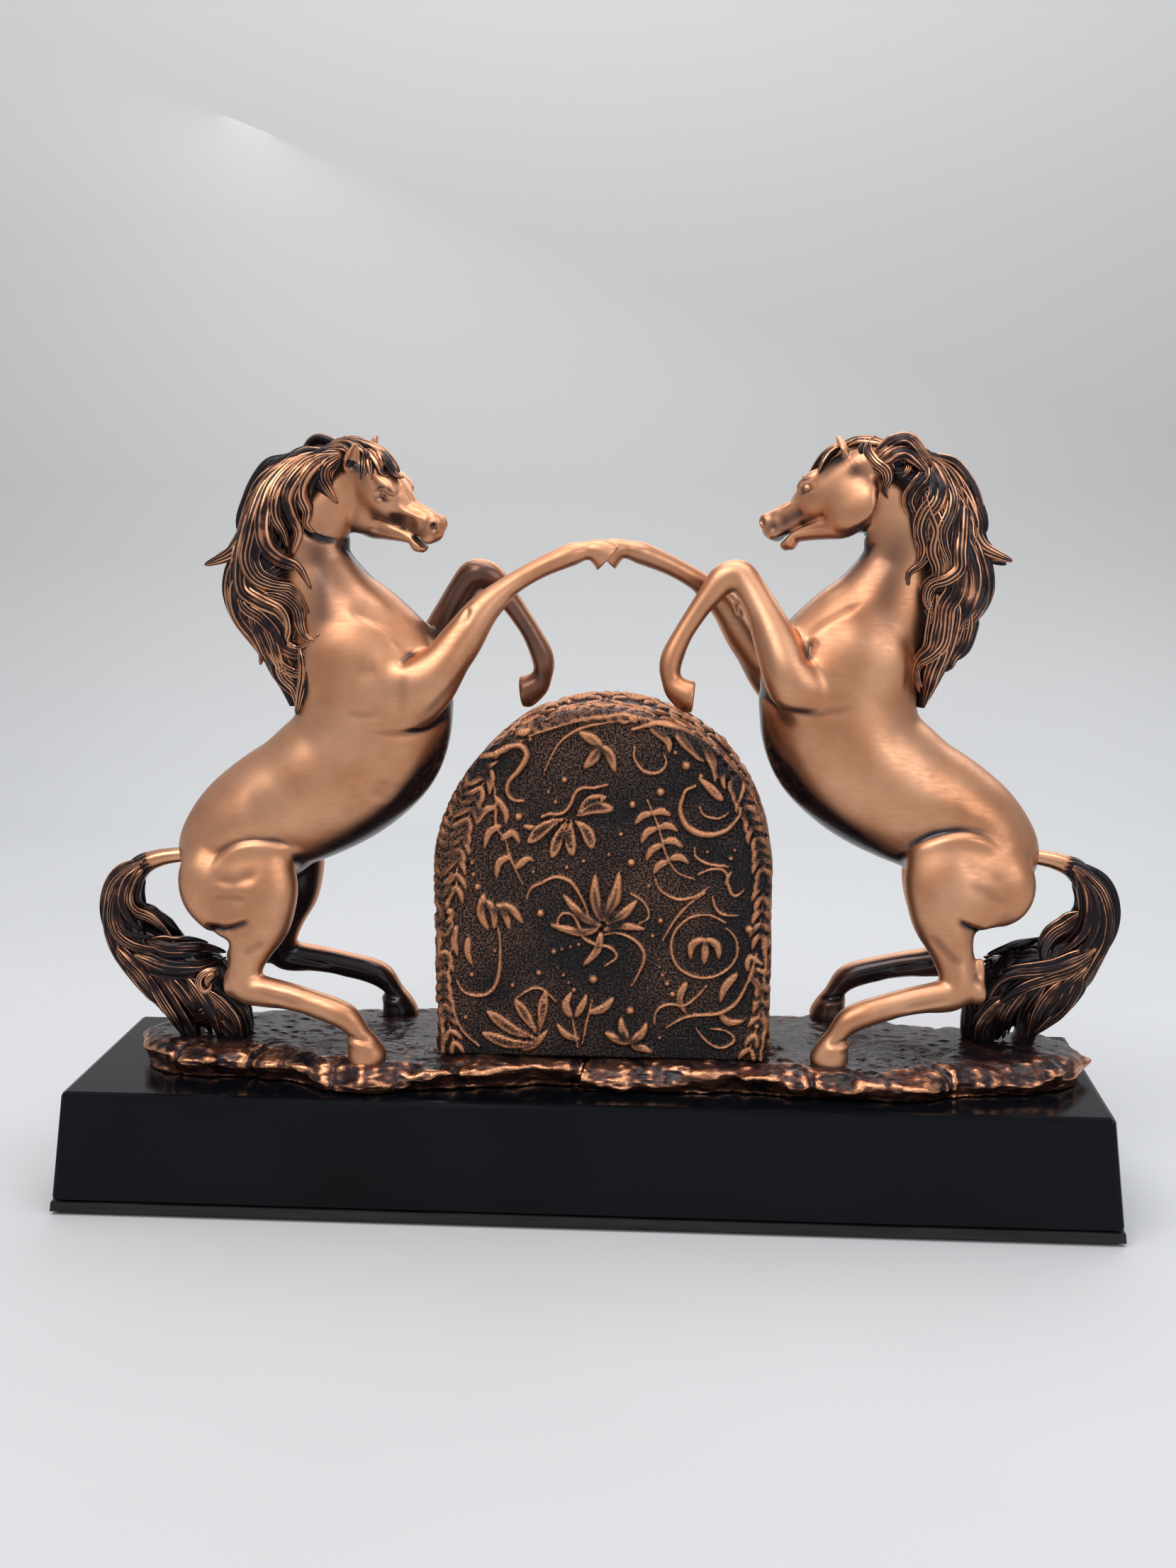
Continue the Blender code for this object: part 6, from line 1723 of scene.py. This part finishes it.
def ground_mesh(name, turned):
    """One rock casting. turned builds the right one, which is the left turned half a turn, with its own roughness."""
    fine = 0.75
    field = Field(axis_of(-215, 12, fine, (0, 1)), axis_of(-55, 49, fine, (0, 1)), axis_of(GROUND_BASE - 2, 70, fine, (0, 0.55)))
    x, y, z = field.coords(field.window((-300, -300, -300), (300, 300, 300)))
    noise = Noise(31 if turned else 17)
    rows = np.array(GROUND_EDGES, float)
    wobble = noise.at(x, 0 * x, 1.7, 26.0) * 2.6 + noise.at(x, 0 * x, 3.3, 9.0) * 1.9 + noise.at(x, 0 * x, 8.7, 3.6) * 0.8
    front = np.interp(x, rows[:, 0], rows[:, 1])
    back = np.interp(x, rows[:, 0], rows[:, 2])
    side = np.maximum(front + wobble - y, y - back - wobble)
    end = -(x + 207) + 0.012 * (y - 1) ** 2 + wobble * 0.5
    outline = soft_max(side * 0.92, end * 0.9, 6.0)
    level = (z - GROUND_BASE) / (GROUND_TOP - GROUND_BASE)
    drift = noise.at(x, y, 0 * z + 1.5, 22.0) * 0.30 + noise.at(x, y, 0 * z + 4.5, 8.0) * 0.10
    reach = 1.0 + noise.at(x, y, 0 * z + 7.5, 15.0) * 0.7 + noise.at(x, y, 0 * z + 2.5, 5.0) * 0.25
    lip = 2.0 - 3.6 * reach * np.exp(-(((level - 0.50 - drift) / 0.30) ** 2))
    crag = noise.at(x * 0.4, y * 0.4, z * 1.4, 4.0) * 0.9 + noise.at(x * 0.5, y * 0.5, z * 2.0, 2.0) * 0.4
    wall = outline + lip + crag
    top = GROUND_TOP + noise.at(x, y, 0 * z, 17.0) * 1.0 + noise.at(x, y * 1.6, 0 * z + 5, 4.6) * 0.55
    top = top + noise.at(x * 0.7, y * 2.2, 0 * z + 9, 2.0) * 0.35 - 3.0 * rise(outline, -9, 2)
    flat = z - top
    for depth, width, *points in CLEFTS:
        mark = line_mark(x[:, :, 0], y[:, :, 0] + 0 * x[:, :, 0], np.array(points, float), width)[:, :, None]
        wall = wall + depth * mark
        flat = flat + depth * 0.8 * mark
    shape = soft_max(wall, flat, 2.6)
    shape = np.maximum(shape, GROUND_BASE - z)
    shape = np.maximum(shape, x - SPLIT_SLOPE * y + SPLIT_GAP / 2)
    field.value = np.broadcast_to(shape, field.value.shape).astype(np.float32).copy()
    cells, points, quads = field.surface()
    normals = field.normals(field.blurred(1), cells)
    facing = np.cross(points[quads[:, 1]] - points[quads[:, 0]], points[quads[:, 2]] - points[quads[:, 0]])
    if (facing * normals[quads[:, 0]]).sum() < 0:
        quads = quads[:, ::-1]
    bulge = field.sample(field.blurred(5), cells) - field.sample(field.blurred(1), cells)
    inset = np.minimum(points[:, 1] - np.interp(points[:, 0], rows[:, 0], rows[:, 1]),
                       np.interp(points[:, 0], rows[:, 0], rows[:, 2]) - points[:, 1])
    rim = np.exp(-((np.maximum(inset, 0) / 9) ** 2))
    wall = rise(1 - np.abs(normals[:, 2]), 0.15, 0.7)
    edge = rise(bulge, 0.0, 0.24) * (0.38 + 0.58 * rim) + 0.24 * wall + 0.26 * rim * (1 - wall)
    return build_mesh(name, points, quads, True, {"edge": edge})


def add_ground():
    for name, side in (("ground_left", "left"), ("ground_right", "right")):
        mesh = ground_mesh(name, side == "right")
        piece(f"{name}_rock", mesh, MATERIALS["rock_patina"], [name], GROUP_PLACES[side])


add_ground()

CARRIED_SLOTS = (("plinth_shell", "black_lacquer"), ("plinth_base_board", "board"), ("felt_pad", "felt"))
carried = dict(CARRIED_SLOTS)
for name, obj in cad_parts.items():
    if obj.hide_render:
        continue
    kind = carried.get(name)
    if kind is None:
        if name.endswith(("mane", "tail", "forelock")):
            kind = "dark_patina"
        elif name.startswith("ground") and "screw" not in name and "washer" not in name:
            kind = "rock_patina"
        elif name == "arch_casing":
            kind = "block_patina"
        else:
            kind = "steel"
    obj.data.materials.clear()
    obj.data.materials.append(MATERIALS[kind])


# ---------------------------------------------------------------- camera, light, floor


def studio():
    scene = bpy.context.scene
    yaw, pitch = math.radians(-4.17), math.radians(9.79)
    forward = Vector((math.sin(yaw) * math.cos(pitch), math.cos(yaw) * math.cos(pitch), -math.sin(pitch)))
    camera_data = bpy.data.cameras.new("camera")
    camera_data.lens = 40.69
    camera_data.sensor_width = 36.0
    camera_data.clip_start = 0.01
    camera = bpy.data.objects.new("camera", camera_data)
    camera.location = (0.0554, -0.7536, 0.3088)
    camera.rotation_euler = forward.to_track_quat("-Z", "Y").to_euler()
    scene.collection.objects.link(camera)
    scene.camera = camera

    floor_material = Shader("floor_paper")
    mottle = floor_material.noise(3.0, 3)
    height = floor_material.node("ShaderNodeSeparateXYZ")
    floor_material.link(floor_material.place, height.inputs[0])
    # painted shade and painted light on the backdrop: a little darker where it rises from the floor, much lighter high
    # up
    wall = floor_material.span(height.outputs["Z"], 0.0, 0.22)
    upper = floor_material.span(height.outputs["Z"], 0.3, 1.5)
    paper = floor_material.mix(floor_material.span(mottle, 0.3, 0.7), (0.52, 0.525, 0.53, 1), (0.555, 0.56, 0.565, 1))
    paper = floor_material.mix(wall, paper, (0.485, 0.485, 0.475, 1))
    paper = floor_material.mix(upper, paper, (0.95, 0.955, 0.95, 1))
    floor_material.set(colour=paper, roughness=0.7, specular=0.2)
    front, bend, reach, top, half = -2.2, 0.75, 0.6, 3.2, 3.5
    profile = [(front, 0.0), (bend, 0.0)]
    for i in range(1, 13):
        a = math.pi / 2 * i / 12
        profile.append((bend + reach * math.sin(a), reach * (1 - math.cos(a))))
    profile.append((bend + reach, top))
    points, faces = [], []
    for y, z in profile:
        points += [(-half, y, z - 0.0002), (half, y, z - 0.0002)]
    for i in range(len(profile) - 1):
        faces.append((2 * i, 2 * i + 1, 2 * i + 3, 2 * i + 2))
    mesh = bpy.data.meshes.new("floor")
    mesh.from_pydata(points, [], faces)
    mesh.shade_smooth()
    mesh.materials.append(floor_material.material)
    floor = bpy.data.objects.new("floor", mesh)
    scene.collection.objects.link(floor)

    world = bpy.data.worlds.new("studio")
    world.use_nodes = True
    world.node_tree.nodes["Background"].inputs[0].default_value = (0.90, 0.93, 1.0, 1)
    world.node_tree.nodes["Background"].inputs[1].default_value = 0.55
    scene.world = world
    for name, place, size, power, colour in (
        ("key", (-0.55, -0.95, 1.35), (1.1, 0.8), 13, (1, 0.98, 0.95)),
        ("fill", (1.0, -1.0, 0.8), (0.9, 0.9), 5, (0.93, 0.96, 1)),
        ("top", (0.1, 0.1, 1.5), (1.5, 0.9), 12, (1, 1, 1)),
        ("back", (0.3, 0.95, 0.9), (1.8, 0.5), 5, (0.95, 0.97, 1)),
    ):
        light = bpy.data.lights.new(name, "AREA")
        light.shape = "RECTANGLE"
        light.size, light.size_y = size
        light.energy = power
        light.color = colour
        obj = bpy.data.objects.new(name, light)
        obj.location = place
        obj.rotation_euler = (Vector((0, 0, 0.15)) - Vector(place)).to_track_quat("-Z", "Y").to_euler()
        scene.collection.objects.link(obj)
    scene.view_settings.view_transform = "Standard"


studio()
